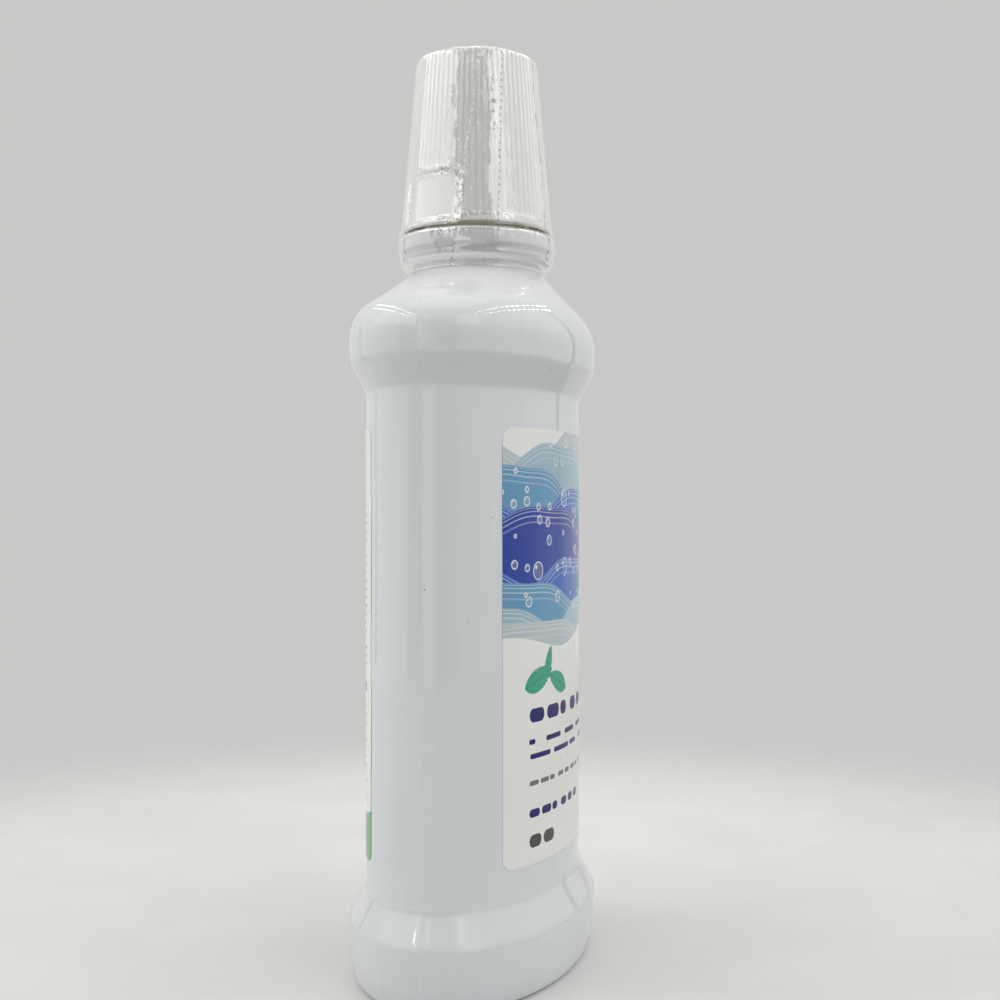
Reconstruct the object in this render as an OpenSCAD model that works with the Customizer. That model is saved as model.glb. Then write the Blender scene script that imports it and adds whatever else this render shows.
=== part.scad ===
// Flat oval bottle with a squeeze-and-turn cap that is still sealed by a clear perforated shrink sleeve.
// Millimetres. X runs along the long axis of the oval, the front label faces -Y and Z is up.
// The origin is the middle of the foot, on the table.

/* [Panel] */
// Width of the oval panel, along its long axis
panel_w = 85.6; // [76:0.2:96]
// Depth of the oval panel, from front to back
panel_d = 48; // [44:0.2:54]
// Height of the straight panel between the two sloping bands
panel_h = 114.2; // [104:0.2:140]
// Wall of the blown body
wall = 1; // [0.7:0.05:1.3]

/* [Foot] */
// Height of the foot band, from the table to its crease
foot_h = 14; // [11:0.5:20]
// Height of the sloping band between the foot and the panel
foot_slope_h = 7.2; // [5:0.2:10]
// How far the foot band stands out past the panel
foot_out = 3.9; // [3:0.1:5]
// How far the foot's rounded bottom edge draws in
foot_round = 2.7; // [1.5:0.1:3.5]
// Width of the flat ring that the bottle stands on
stand_w = 3; // [2:0.2:5]
// Height of the hollow pushed up into the base
punt_h = 3; // [2:0.2:5]

/* [Shoulder] */
// Height of the sloping band between the panel and the shoulder
shoulder_slope_h = 6.9; // [5:0.1:10]
// How far the shoulder's crease stands out past the panel
shoulder_out = 3.6; // [3:0.1:5]
// How far the shoulder swells past its crease at its widest
shoulder_swell = 0.5; // [0.2:0.1:1]
// Height from the crease to the widest level
shoulder_rise = 5; // [3:0.5:8]
// Height from the widest level to the root of the neck
shoulder_h = 18.6; // [16.6:0.2:24]
// Rounding radius of the shoulder at its two ends, seen from the front
end_round = 8.5; // [6:0.5:11]
// Rounding radius of the shoulder at its front and back, seen from an end
face_round = 12.8; // [9:0.2:13.8]

/* [Neck] */
// Diameter of the neck below the collar
neck_d = 32; // [30:0.5:34]
// Height of bare neck below the collar
neck_h = 1.2; // [0.8:0.1:3]
// Wall of the neck and of the hollow collar
neck_wall = 1.2; // [0.9:0.1:1.8]
// Diameter of the collar's upright band
collar_d = 37.8; // [37.4:0.1:40]
// Height of the collar, its lower bead included
collar_h = 7.4; // [6.8:0.2:10]
// Thickness of the round bead along the collar's lower edge
bead_d = 3.8; // [3:0.1:4.2]
// How far the bead stays inside the upright band
bead_inset = 0.3; // [0.1:0.05:0.6]
// Bevel along the collar's top edge
collar_bevel = 0.7; // [0.4:0.1:1]
// Height of the threaded mouth above the collar
mouth_h = 15.5; // [14.5:0.5:19]
// Wall of the threaded mouth
mouth_wall = 1.6; // [1.2:0.1:2.4]

/* [Thread] */
// Rise of the thread in one turn
thread_pitch = 4.2; // [3.6:0.1:4.4]
// How far the bottle's thread stands out of the mouth
thread_depth = 1.1; // [0.8:0.05:1.15]
// Turns of the bottle's thread
thread_turns = 1.25; // [1:0.05:1.3]
// Turns of the cup's thread
cup_thread_turns = 1.1; // [0.9:0.05:1.2]
// Width of a thread at its root
thread_root_w = 1.7; // [1.3:0.05:1.8]
// Width of a thread at its tip
thread_tip_w = 0.8; // [0.6:0.05:1]

/* [Cap] */
// Height of the cap
cap_h = 41.8; // [40:0.2:50]
// Diameter of the cap's smooth rim
cap_d = 35.8; // [35.2:0.1:37]
// Diameter of the smooth core of the cap at its top
cap_top_d = 28.5; // [28:0.1:32]
// Rounding of the cap's top edge
cap_round = 1.25; // [0.8:0.05:1.6]
// Wall of the cap's skirt
cap_wall = 1.1; // [0.9:0.05:1.2]
// Thickness of the cap's closed top
cap_top_wall = 1.4; // [1:0.1:2]
// Gap between the collar and the closed cap
cap_gap = 1.6; // [1.2:0.1:2.5]
// Number of grip ribs round the cap
rib_count = 72; // [60:1:80]
// How far the ribs stand out of the cap's core
rib_h = 0.4; // [0.25:0.05:0.5]
// Height of the smooth rim below the ribs
rim_h = 1.4; // [1:0.1:3]
// Width of each squeeze pad
pad_w = 15.4; // [12:0.2:18]
// Height of each squeeze pad above the rim's edge
pad_h = 12.2; // [9:0.2:16]
// Corner rounding at the top of each squeeze pad
pad_round = 3; // [2:0.5:5]

/* [Dosing cup] */
// Wall of the cup above the bottle's mouth
cup_wall = 0.9; // [0.7:0.05:1.1]
// Wall of the cup's threaded skirt at its thinnest, beside the bottle's rim
cup_skirt_wall = 0.67; // [0.5:0.01:1]
// How far the cup's bore stays inside the outside of the bottle's mouth
cup_step = 0.5; // [0.3:0.05:1]
// Gap between the cup's closed end and the cap
cup_room = 0.6; // [0.3:0.05:1.2]
// Thickness of the soft ring that seals the mouth
seal_t = 0.8; // [0.6:0.1:1.4]

/* [Labels] */
// Width of each label, straight across
label_w = 66; // [50:1:70]
// Height of bare panel below the labels
label_rise = 7.3; // [4:0.1:12]
// Height of bare panel above the labels
label_drop = 8.7; // [4:0.1:20]
// Corner rounding of the labels
label_round = 2.8; // [1:0.2:6]
// Thickness of the labels
label_t = 0.12; // [0.08:0.01:0.2]

/* [Shrink sleeve] */
// Thickness of the film
film_t = 0.15; // [0.1:0.01:0.2]
// How far the film folds in over the cap's top
film_lap = 3; // [2:0.2:5]
// Width of the tear strip at the cap's top edge
strip_top_w = 5.8; // [4:0.2:8]
// Width of the tear strip at the collar
strip_foot_w = 10.6; // [6:0.2:12]

/* [Hidden] */

// Clearances, overruns and tilts
$fn = 96;
film_clear = 0.05;
label_clear = 0.03;
cup_clear = 0.25;
thread_clear = 0.4;
seal_clear = 0.1;
lock_clear = 0.4;
perforation_w = 0.12;
tear_gap = 0.2;
overrun = 1;
bite = 0.5;
skirt_clear = 0.3;

// Directions in plan, in degrees from +X: the squeeze pads and the tear strip
pad_angle = 157;
strip_angle = 201;
// Slant of the tear strip: its top and foot lie this far to either side of its middle
strip_lean = 2;

// Fineness of the lofts: points round a section and levels in each curved band
around = 64;
foot_steps = 7;
swell_steps = 3;
shoulder_steps = 13;
thread_sides = 36;
thread_fade = 4;
corner_steps = 6;
foot_fullness = 2.4;

// Shares that set the forms between the named sizes
base_step_share = 0.45;
punt_shoulder_share = 0.7;
slope_wall_share = 0.5;
groove_share = 0.22;
groove_depth_share = 0.75;
rib_flank_share = 0.8;
hollow_slope_share = 0.7;

// Heights that the pieces share
z_foot_slope = foot_h;
z_panel = z_foot_slope + foot_slope_h;
z_panel_top = z_panel + panel_h;
z_crease = z_panel_top + shoulder_slope_h;
z_wide = z_crease + shoulder_rise;
z_neck = z_wide + shoulder_h;
z_collar = z_neck + neck_h;
z_collar_top = z_collar + collar_h;
z_mouth = z_collar_top + mouth_h;
z_cap = z_collar_top + cap_gap;
z_cap_top = z_cap + cap_h;

// Half sizes that the pieces share
panel_a = panel_w / 2;
panel_b = panel_d / 2;
wide_a = panel_a + shoulder_out + shoulder_swell;
wide_b = panel_b + shoulder_out + shoulder_swell;
neck_r = neck_d / 2;
collar_r = collar_d / 2;
bead_r = bead_d / 2;
bead_centre_r = collar_r - bead_inset - bead_r;
label_h = panel_h - label_rise - label_drop;
z_bead = z_collar + bead_r;
collar_band_h = collar_h - bead_d + bead_inset;
neck_bore_r = neck_r - neck_wall;

// Locking stops on the collar and lugs in the cap. They are drawn as they stand when the cap is squeezed.
stop_h = 3.2;
stop_w = 1.6;
stop_ramp_w = 2.4;
lug_h = 1.7;
lug_w = 4;
lug_rise = 0.2;
lug_depth = 1;
snap_h = 0.5;
snap_depth = 0.6;
snap_rise = 2.1;
drive_rib_count = 6;
drive_rib_w = 1;

// The cap's inner cone
function cap_core_r(z) = cap_d / 2 + (cap_top_d - cap_d) / 2 * (z - z_cap) / cap_h;
function cap_inner_r(z) = cap_core_r(z) - cap_wall;
stop_r = cap_inner_r(z_cap) - lug_depth - lock_clear;

// The dosing cup's levels
z_cup = z_cap + snap_rise + snap_h + cup_clear;
z_ledge = z_mouth + seal_t + 2 * seal_clear;
z_ledge_top = z_ledge + cup_wall;
z_cup_top = z_cap_top - cap_top_wall - seal_clear;

// What fits inside the cap, from the outside in: the cup's ledge and skirt, the mouth and the cup's own bore
ledge_r = cap_inner_r(z_ledge_top) - cup_clear;
cup_bore_r = ledge_r - cup_skirt_wall;
mouth_r = cup_bore_r - thread_clear - thread_depth;
mouth_bore_r = mouth_r - mouth_wall;
cup_r = mouth_r - cup_step;
cup_end_r = cap_inner_r(z_cup_top) - cup_room - cup_wall;
drive_rib_r = max(cup_r, cup_end_r) + cup_wall + cup_clear;

// The bottle's thread starts this far below the rim, and the cup's thread lies under it
thread_top = 3;
z_thread = z_mouth - thread_top - thread_turns * thread_pitch;
thread_drop = (thread_root_w + thread_tip_w) / 2 + seal_clear;

// One oval section: half sizes a and b at height z
function oval(a, b, z) = [for (i = [0:around - 1]) [a * cos(360 * i / around), b * sin(360 * i / around), z]];

// A closed solid through sections of equal point count, from the lowest up
module loft(sections) {
    n = len(sections[0]);
    m = len(sections);
    walls = [for (j = [0:m - 2], i = [0:n - 1])
        let (k = (i + 1) % n)
        each [[j * n + i, (j + 1) * n + i, j * n + k], [j * n + k, (j + 1) * n + i, (j + 1) * n + k]]];
    floor_face = [[for (i = [0:n - 1]) i]];
    roof_face = [[for (i = [0:n - 1]) m * n - 1 - i]];
    polyhedron(points = [for (s = sections) each s], faces = concat(floor_face, walls, roof_face));
}

// Foot band: how far it stands out past the panel at height z, a superellipse round the bottom edge
function foot_edge(t) = foot_out - foot_round * (1 - pow(1 - pow(t, foot_fullness), 1 / foot_fullness));
function foot_level(i) = let (s = i / foot_steps) [foot_edge(pow(1 - s, 1.5)), foot_h * (1 - pow(1 - s, 1.5))];

// Shoulder: a round of radius r that starts upright at half width w, then a straight slope to the neck
function slope_start(w, r) =
    let (dx = shoulder_top_r - (w - r))
    atan2(shoulder_h, dx) - acos(r / norm([dx, shoulder_h]));
function shoulder_half(w, r, h) =
    let (t = slope_start(w, r), x = w - r + r * cos(t), y = r * sin(t))
    h <= y ? w - r + sqrt(r * r - h * h) : x + (shoulder_top_r - x) * (h - y) / (shoulder_h - y);
shoulder_top_r = neck_r - bite;

// Levels of the outside, each [half width, half depth, height]
foot_levels = [for (i = [0:foot_steps])
    let (p = foot_level(i)) [panel_a + p[0], panel_b + p[0], p[1]]];
swell_levels = [for (i = [0:swell_steps - 1])
    let (s = sin(90 * i / swell_steps), out = shoulder_out + shoulder_swell * s)
    [panel_a + out, panel_b + out, z_crease + shoulder_rise * i / swell_steps]];
shoulder_levels = [for (i = [0:shoulder_steps])
    let (h = shoulder_h * i / shoulder_steps)
    [shoulder_half(wide_a, end_round, h), shoulder_half(wide_b, face_round, h), z_wide + h]];
outside_levels = concat(
    foot_levels,
    [[panel_a, panel_b, z_panel], [panel_a, panel_b, z_panel_top]],
    swell_levels, shoulder_levels);

// Levels of the inside: the outside drawn in by the wall, and on the shoulder also lowered a little
inner_drop = wall * slope_wall_share;
inner_shoulder_levels = [for (i = [0:shoulder_steps])
    let (h = (shoulder_h - inner_drop) * i / shoulder_steps)
    [shoulder_half(wide_a, end_round, h + inner_drop) - wall,
     shoulder_half(wide_b, face_round, h + inner_drop) - wall, z_wide + h]];
inner_foot_levels = [for (i = [1:foot_steps])
    [foot_levels[i][0] - wall, foot_levels[i][1] - wall, max(foot_levels[i][2], 2 * wall + i * wall * base_step_share)]];
inside_levels = concat(
    inner_foot_levels,
    [[panel_a - wall, panel_b - wall, z_panel + inner_drop],
     [panel_a - wall, panel_b - wall, z_panel_top - inner_drop]],
    [for (p = swell_levels) [p[0] - wall, p[1] - wall, p[2]]],
    inner_shoulder_levels);

module loft_levels(levels) {
    loft([for (p = levels) oval(p[0], p[1], p[2])]);
}

// The hollow pushed up into the base, between the standing ring and its flat middle
module punt(lift) {
    ring_a = foot_levels[0][0] - stand_w;
    ring_b = foot_levels[0][1] - stand_w;
    loft_levels([
        [ring_a, ring_b, -overrun],
        [ring_a, ring_b, lift],
        [ring_a * punt_shoulder_share, ring_b * punt_shoulder_share, punt_h + lift]]);
}

// A screw thread: a trapezium swept up a helix, fading in and out at its ends
module thread(root_r, tip_r, z, turns) {
    steps = ceil(turns * thread_sides);
    sections = [for (i = [0:steps])
        let (fade = min(1, (i + bite) / thread_fade, (steps - i + bite) / thread_fade),
             tip = root_r + (tip_r - root_r) * fade,
             tip_half = thread_tip_w / 2 + (thread_root_w - thread_tip_w) / 2 * (1 - fade),
             a = 360 * i / thread_sides, h = z + thread_pitch * i / thread_sides,
             root = [root_r * cos(a), root_r * sin(a)], crest = [tip * cos(a), tip * sin(a)])
        [[root[0], root[1], h - thread_root_w / 2], [crest[0], crest[1], h - tip_half],
         [crest[0], crest[1], h + tip_half], [root[0], root[1], h + thread_root_w / 2]]];
    inward = tip_r < root_r;
    loft(inward ? sections : [for (s = sections) [s[3], s[2], s[1], s[0]]]);
}

// The collar, the threaded mouth and the root of the neck inside the shoulder, without the bore
module neck_outside() {
    translate([0, 0, z_neck - 2 * overrun])
        cylinder(r = neck_r, h = neck_h + bead_r + 2 * overrun);
    translate([0, 0, z_bead])
        rotate_extrude() translate([bead_centre_r, 0]) circle(r = bead_r, $fn = 48);
    rotate_extrude() polygon([
        [0, z_bead], [bead_centre_r, z_bead], [bead_centre_r, z_collar_top - collar_band_h],
        [collar_r, z_collar_top - collar_band_h], [collar_r, z_collar_top - collar_bevel],
        [collar_r - collar_bevel, z_collar_top], [mouth_r, z_collar_top],
        [mouth_r, z_mouth - neck_wall / 3], [mouth_r - neck_wall / 3, z_mouth], [0, z_mouth]]);
    thread(mouth_r - bite / 2, mouth_r + thread_depth, z_thread, thread_turns);
    for (side = [0, 180]) rotate([0, 0, pad_angle + 90 + side])
        translate([0, 0, z_collar_top - bite]) linear_extrude(height = stop_h + bite) polygon([
            [mouth_r - bite, -stop_w / 2], [stop_r, -stop_w / 2], [stop_r, stop_w / 2],
            [mouth_r - bite, stop_w / 2 + stop_ramp_w]]);
}

// The way through the neck: wide in the neck, wider in the hollow collar, narrow in the mouth
module neck_bore() {
    hollow_r = collar_r - bead_inset - neck_wall - bite / 2;
    hollow_z = z_collar_top - neck_wall;
    ease = hollow_slope_share * bead_r;
    rotate_extrude() polygon([
        [0, z_neck - 3 * overrun], [neck_bore_r, z_neck - 3 * overrun], [neck_bore_r, z_bead - ease],
        [hollow_r, z_bead + ease], [hollow_r, hollow_z - ease / 2], [hollow_r - ease / 2, hollow_z],
        [mouth_bore_r + neck_wall, hollow_z], [mouth_bore_r, hollow_z + neck_wall],
        [mouth_bore_r, z_mouth + overrun], [0, z_mouth + overrun]]);
}

module bottle() {
    color([0.90, 0.92, 0.93]) difference() {
        union() {
            loft_levels(outside_levels);
            neck_outside();
        }
        difference() {
            loft_levels(inside_levels);
            punt(wall);
        }
        neck_bore();
        punt(0);
    }
}

// Outline of the ribbed cap: narrow grooves between gently rounded ribs
function rib_point(i, share, out) =
    let (a = 360 * (i + share) / rib_count, r = cap_core_r(z_cap + rim_h) + rib_h * out)
    [r * cos(a), r * sin(a)];
rib_outline = [for (i = [0:rib_count - 1])
    each [rib_point(i, 0, 1 - groove_depth_share), rib_point(i, groove_share, rib_flank_share),
          rib_point(i, (1 + groove_share / 2) / 2, 1), rib_point(i, 1 - groove_share / 2, rib_flank_share)]];

// A cone that follows the cap, larger by grow, with the cap's rounded top edge
module cap_form(grow) {
    top_r = cap_top_d / 2 + grow;
    rotate_extrude() polygon(concat(
        [[0, z_cap], [cap_d / 2 + grow, z_cap]],
        [for (i = [0:corner_steps]) let (a = 90 * i / corner_steps)
            [top_r - cap_round + cap_round * cos(a), z_cap_top - cap_round + cap_round * sin(a)]],
        [[0, z_cap_top]]));
}

module cap_ribs() {
    h = cap_h - rim_h;
    shrink = (cap_top_d / 2 + rib_h) / (cap_core_r(z_cap + rim_h) + rib_h);
    translate([0, 0, z_cap + rim_h])
        linear_extrude(height = h, scale = shrink) polygon(rib_outline);
}

// Both squeeze pads as one bar through the cap, round-cornered at the top
module pad_bar() {
    rotate([0, 0, pad_angle]) rotate([90, 0, 90]) translate([0, z_cap, 0])
        linear_extrude(height = cap_d + 2 * overrun, center = true) {
            translate([-pad_w / 2, -overrun]) square([pad_w, pad_h - pad_round + overrun]);
            translate([-pad_w / 2 + pad_round, -overrun]) square([pad_w - 2 * pad_round, pad_h + overrun]);
            for (side = [-1, 1]) translate([side * (pad_w / 2 - pad_round), pad_h - pad_round])
                circle(r = pad_round, $fn = 48);
        }
}

module outer_cap() {
    inner_top = z_cap_top - cap_top_wall;
    color([0.93, 0.92, 0.89]) {
        difference() {
            union() {
                cap_form(0);
                difference() {
                    intersection() {
                        cap_ribs();
                        cap_form(rib_h);
                    }
                    pad_bar();
                }
            }
            rotate_extrude() polygon([
                [0, z_cap - overrun], [cap_inner_r(z_cap - overrun), z_cap - overrun],
                [cap_inner_r(inner_top), inner_top], [0, inner_top]]);
        }
        // Snap bead that holds the cup up in the cap
        rotate_extrude() polygon([
            [cap_inner_r(z_cap) - snap_depth, z_cap + snap_rise],
            [cap_inner_r(z_cap) + bite, z_cap + snap_rise],
            [cap_inner_r(z_cap) + bite, z_cap + snap_rise + snap_h],
            [cap_inner_r(z_cap) - snap_depth, z_cap + snap_rise + snap_h]]);
        // Lock lugs, square to the squeeze pads, and the ribs that drive the cup
        intersection() {
            union() {
                for (side = [0, 180]) rotate([0, 0, pad_angle + 90 + side])
                    translate([cap_inner_r(z_cap) - lug_depth, -lug_w / 2, z_cap + lug_rise])
                        cube([lug_depth + bite, lug_w, lug_h]);
                for (i = [0:drive_rib_count - 1]) rotate([0, 0, 360 * i / drive_rib_count])
                    translate([drive_rib_r, -drive_rib_w / 2, z_ledge_top + cup_clear])
                        cube([cap_d / 2, drive_rib_w, inner_top + bite - z_ledge_top - cup_clear]);
            }
            rotate_extrude() polygon([
                [0, z_cap], [cap_inner_r(z_cap) + bite, z_cap],
                [cap_inner_r(inner_top) + bite, inner_top + bite], [0, inner_top + bite]]);
        }
    }
}

module inner_cup() {
    skirt_r = cap_inner_r(z_cup) - cup_clear;
    color([0.95, 0.95, 0.94]) {
        rotate_extrude() polygon([
            [skirt_r, z_cup], [ledge_r, z_ledge_top], [cup_r + cup_wall, z_ledge_top],
            [cup_end_r + cup_wall, z_cup_top - cup_wall], [cup_end_r, z_cup_top], [0, z_cup_top],
            [0, z_cup_top - cup_wall], [cup_end_r - cup_wall, z_cup_top - cup_wall],
            [cup_end_r, z_cup_top - 2 * cup_wall], [cup_r, z_ledge], [cup_bore_r, z_ledge],
            [cup_bore_r, z_cup + cup_wall], [cup_bore_r + cup_wall / 2, z_cup]]);
        thread(cup_bore_r + thread_clear / 2, mouth_r + thread_clear, z_thread - thread_drop, cup_thread_turns);
    }
}

module seal_ring() {
    color([0.75, 0.80, 0.84]) translate([0, 0, z_mouth + seal_clear]) difference() {
        cylinder(r = cup_bore_r - thread_clear, h = seal_t);
        translate([0, 0, -overrun]) cylinder(r = mouth_bore_r, h = seal_t + 2 * overrun);
    }
}

// The panel's own section drawn out by some offset
module panel_section(out) {
    polygon([for (p = oval(panel_a + out, panel_b + out, 0)) [p[0], p[1]]]);
}

module label() {
    intersection() {
        translate([0, 0, z_panel + label_rise]) linear_extrude(height = label_h) difference() {
            panel_section(label_clear + label_t);
            panel_section(label_clear);
        }
        translate([0, 0, z_panel + label_rise]) rotate([90, 0, 0]) linear_extrude(height = panel_d) {
            translate([-label_w / 2, label_round]) square([label_w, label_h - 2 * label_round]);
            translate([-label_w / 2 + label_round, 0]) square([label_w - 2 * label_round, label_h]);
            for (x = [-1, 1], y = [0, 1])
                translate([x * (label_w / 2 - label_round), y ? label_h - label_round : label_round])
                    circle(r = label_round, $fn = 48);
        }
    }
}

module front_label() {
    color([0.95, 0.95, 0.94]) label();
}

module back_label() {
    color([0.95, 0.95, 0.94]) rotate([0, 0, 180]) label();
}

// The film's path over the cap, off the cap by out: from its fold on the top to its edge above the collar
function sleeve_path(out) = concat(
    [[cap_top_d / 2 - film_lap, z_cap_top + out]],
    [for (i = [corner_steps:-1:0])
        let (a = 90 * i / corner_steps, r = cap_round + out)
        [cap_top_d / 2 + rib_h - cap_round + r * cos(a), z_cap_top - cap_round + r * sin(a)]],
    [[cap_core_r(z_cap + rim_h) + rib_h + out, z_cap + rim_h],
     [collar_r + out, z_collar_top + tear_gap]]);

// The film's path round the collar and onto the neck
function skirt_path(out) = concat(
    [[collar_r + out, z_collar_top - tear_gap / 2], [collar_r + out, z_collar_top - collar_band_h]],
    [for (i = [0:corner_steps])
        let (a = -90 * i / corner_steps, r = bead_r + out)
        [max(bead_centre_r + r * cos(a), neck_r + out), z_bead + r * sin(a)]],
    [[neck_r + out, z_collar - out], [neck_r + out, z_neck + skirt_clear]]);

module film(inner, outer) {
    rotate_extrude() polygon(concat(inner, [for (i = [len(outer) - 1:-1:0]) outer[i]]));
}

// The slanted window that the two lines of perforation cut out of the film, drawn in by some inset
module strip_window(inset) {
    top = z_cap_top + overrun;
    foot = z_neck - overrun;
    slant_top = strip_lean;
    slant_foot = -strip_lean;
    rotate([90, 0, strip_angle + 90])
        linear_extrude(height = collar_d) polygon([
            [slant_top - strip_top_w / 2 + inset, top], [slant_top + strip_top_w / 2 - inset, top],
            [slant_foot + strip_foot_w / 2 - inset, foot], [slant_foot - strip_foot_w / 2 + inset, foot]]);
}

module whole_sleeve() {
    film(sleeve_path(film_clear), sleeve_path(film_clear + film_t));
}

module whole_skirt() {
    film(skirt_path(film_clear), skirt_path(film_clear + film_t));
}

module sleeve() {
    color([0.92, 0.94, 0.95, 0.35]) difference() {
        whole_sleeve();
        strip_window(-perforation_w / 2);
    }
}

module tear_strip() {
    color([0.92, 0.94, 0.95, 0.35]) intersection() {
        whole_sleeve();
        strip_window(perforation_w / 2);
    }
}

module sleeve_skirt() {
    color([0.92, 0.94, 0.95, 0.35]) difference() {
        whole_skirt();
        strip_window(-perforation_w / 2);
    }
}

module tear_strip_tail() {
    color([0.92, 0.94, 0.95, 0.35]) intersection() {
        whole_skirt();
        strip_window(perforation_w / 2);
    }
}

bottle();
outer_cap();
inner_cup();
seal_ring();
front_label();
back_label();
sleeve();
tear_strip();
sleeve_skirt();
tear_strip_tail();
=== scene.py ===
# %% [markdown]
# # A sealed bottle with a squeeze-and-turn cap
#
# The object is a flat oval bottle of glossy white plastic. A tapered, ribbed cap closes it, two printed
# sheets are stuck on its broad sides, and a clear shrink film with two lines of perforation seals the cap.
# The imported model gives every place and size. This script puts finely worked surfaces over it: each one is
# a formula on a grid, worked out as whole arrays, so that a curve is smooth and a rib has its real flanks.

import bpy
import numpy as np
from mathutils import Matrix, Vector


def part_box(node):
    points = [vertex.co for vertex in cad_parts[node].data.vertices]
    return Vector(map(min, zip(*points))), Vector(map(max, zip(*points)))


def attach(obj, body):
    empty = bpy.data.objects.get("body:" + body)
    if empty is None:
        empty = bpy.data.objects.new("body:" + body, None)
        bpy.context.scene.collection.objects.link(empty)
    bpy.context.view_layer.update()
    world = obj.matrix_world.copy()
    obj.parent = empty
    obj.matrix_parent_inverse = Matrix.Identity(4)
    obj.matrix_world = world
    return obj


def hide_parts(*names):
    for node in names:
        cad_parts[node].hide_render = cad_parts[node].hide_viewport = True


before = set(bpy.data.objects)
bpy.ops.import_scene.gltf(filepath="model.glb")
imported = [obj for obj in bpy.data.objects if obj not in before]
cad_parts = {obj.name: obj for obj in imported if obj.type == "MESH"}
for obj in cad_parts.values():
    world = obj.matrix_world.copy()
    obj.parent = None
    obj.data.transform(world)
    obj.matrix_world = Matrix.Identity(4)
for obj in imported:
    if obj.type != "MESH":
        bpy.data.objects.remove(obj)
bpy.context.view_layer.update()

# %% [markdown]
# ## Sizes
#
# Inside this script every length is in millimetres, and it becomes metres when a mesh is made. What the
# frame can say is read from its boxes. The rest are the bottle's own small sizes, each with a name.

# %% Sizes read from the frame
MM = 0.001


def box_mm(node):
    """The lowest and highest corner of a node of the frame, in millimetres."""
    return [np.array(corner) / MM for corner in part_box(node)]


bottle_low, bottle_high = box_mm("bottle")
cap_low, cap_high = box_mm("outer_cap")
label_low, label_high = box_mm("front_label")
z_mouth = bottle_high[2]
z_cap = cap_low[2]
z_cap_top = cap_high[2]
wide_a = bottle_high[0]
wide_b = bottle_high[1]
print("bottle", bottle_high - bottle_low, "cap", cap_high - cap_low, "label", label_high - label_low)

# %% Sizes of the body
shoulder_out = 3.6
shoulder_swell = 0.5
panel_a = wide_a - shoulder_out - shoulder_swell
panel_b = wide_b - shoulder_out - shoulder_swell
wall = 1.0
foot_h = 14.0
foot_slope_h = 7.2
foot_out = 3.9
foot_round = 2.7
foot_fullness = 2.4
stand_w = 3.0
punt_h = 3.0
punt_share = 0.7
punt_flank_share = 0.86
punt_flank_h = 2.5
panel_h = 114.2
shoulder_slope_h = 6.9
shoulder_rise = 5.0
shoulder_h = 18.6
end_round = 8.5
face_round = 12.8
z_panel = foot_h + foot_slope_h
z_panel_top = z_panel + panel_h
z_crease = z_panel_top + shoulder_slope_h
z_wide = z_crease + shoulder_rise
z_neck = z_wide + shoulder_h

# %% Sizes of the neck, the collar and the mouth
neck_r = 16.0
neck_h = 1.2
neck_wall = 1.2
collar_r = 18.9
collar_h = 7.4
collar_bevel = 0.7
bead_r = 1.9
bead_inset = 0.3
bead_centre_r = collar_r - bead_inset - bead_r
band_rise = 3.5
z_collar = z_neck + neck_h
z_bead = z_collar + bead_r
z_band = z_collar + band_rise
z_collar_top = z_collar + collar_h
band_foot = [collar_r - 0.4, z_band - 0.4]
band_start = [collar_r, z_band + 0.5]
mouth_r = 13.0
mouth_wall = 1.6
mouth_bore_r = mouth_r - mouth_wall
lip_round = 0.4
thread_pitch = 4.2
thread_depth = 1.1
thread_turns = 1.25
thread_root_w = 1.7
thread_tip_w = 0.8
thread_below_rim = 3.0
z_thread = z_mouth - thread_below_rim - thread_turns * thread_pitch
print("levels:", z_panel, z_panel_top, z_crease, z_wide, z_neck, z_collar_top, z_mouth)

# %% [markdown]
# ## Paths and grids
#
# Every shell here is a path carried round an axis. Real moulded corners are never sharp: the light runs
# along them as a thin bright or dark line. So a path is written with plain corners and then softened, by
# averaging it over a short reach. Straight stretches stay straight, and each corner becomes a parabola.
# Rows of the grid are then spread by need: many where the path bends, few where it runs straight.

# %% Soften a path and spread rows along it
def running_length(points):
    """The length of a polyline up to each of its points."""
    steps = np.linalg.norm(np.diff(points, axis=0), axis=1)
    return np.concatenate([[0], np.cumsum(steps)])


def at_length(points, length, marks):
    """The values of a polyline's columns at the given running lengths."""
    return np.stack([np.interp(marks, length, column) for column in points.T], axis=1)


def soften(path, shape_columns=3, step=0.02):
    """Averages a path over a reach to both sides of each point. The first columns are its place, and the
    next one is the reach there. The mean over a window is the difference of a running integral at the
    window's two ends, divided by the window's width."""
    length = running_length(path[:, :shape_columns])
    marks = np.linspace(0, length[-1], int(length[-1] / step) + 1)
    fine = at_length(path, length, marks)
    reach = np.minimum(fine[:, shape_columns], np.minimum(marks, marks[-1] - marks))
    slabs = (fine[1:] + fine[:-1]) / 2 * np.diff(marks)[:, None]
    integral = np.concatenate([np.zeros((1, fine.shape[1])), np.cumsum(slabs, axis=0)])
    window = at_length(integral, marks, marks + reach) - at_length(integral, marks, marks - reach)
    mean = window / np.maximum(2 * reach, step / 2)[:, None]
    fine[:, :shape_columns] = np.where(reach[:, None] > step / 2, mean, fine)[:, :shape_columns]
    return fine


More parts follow.
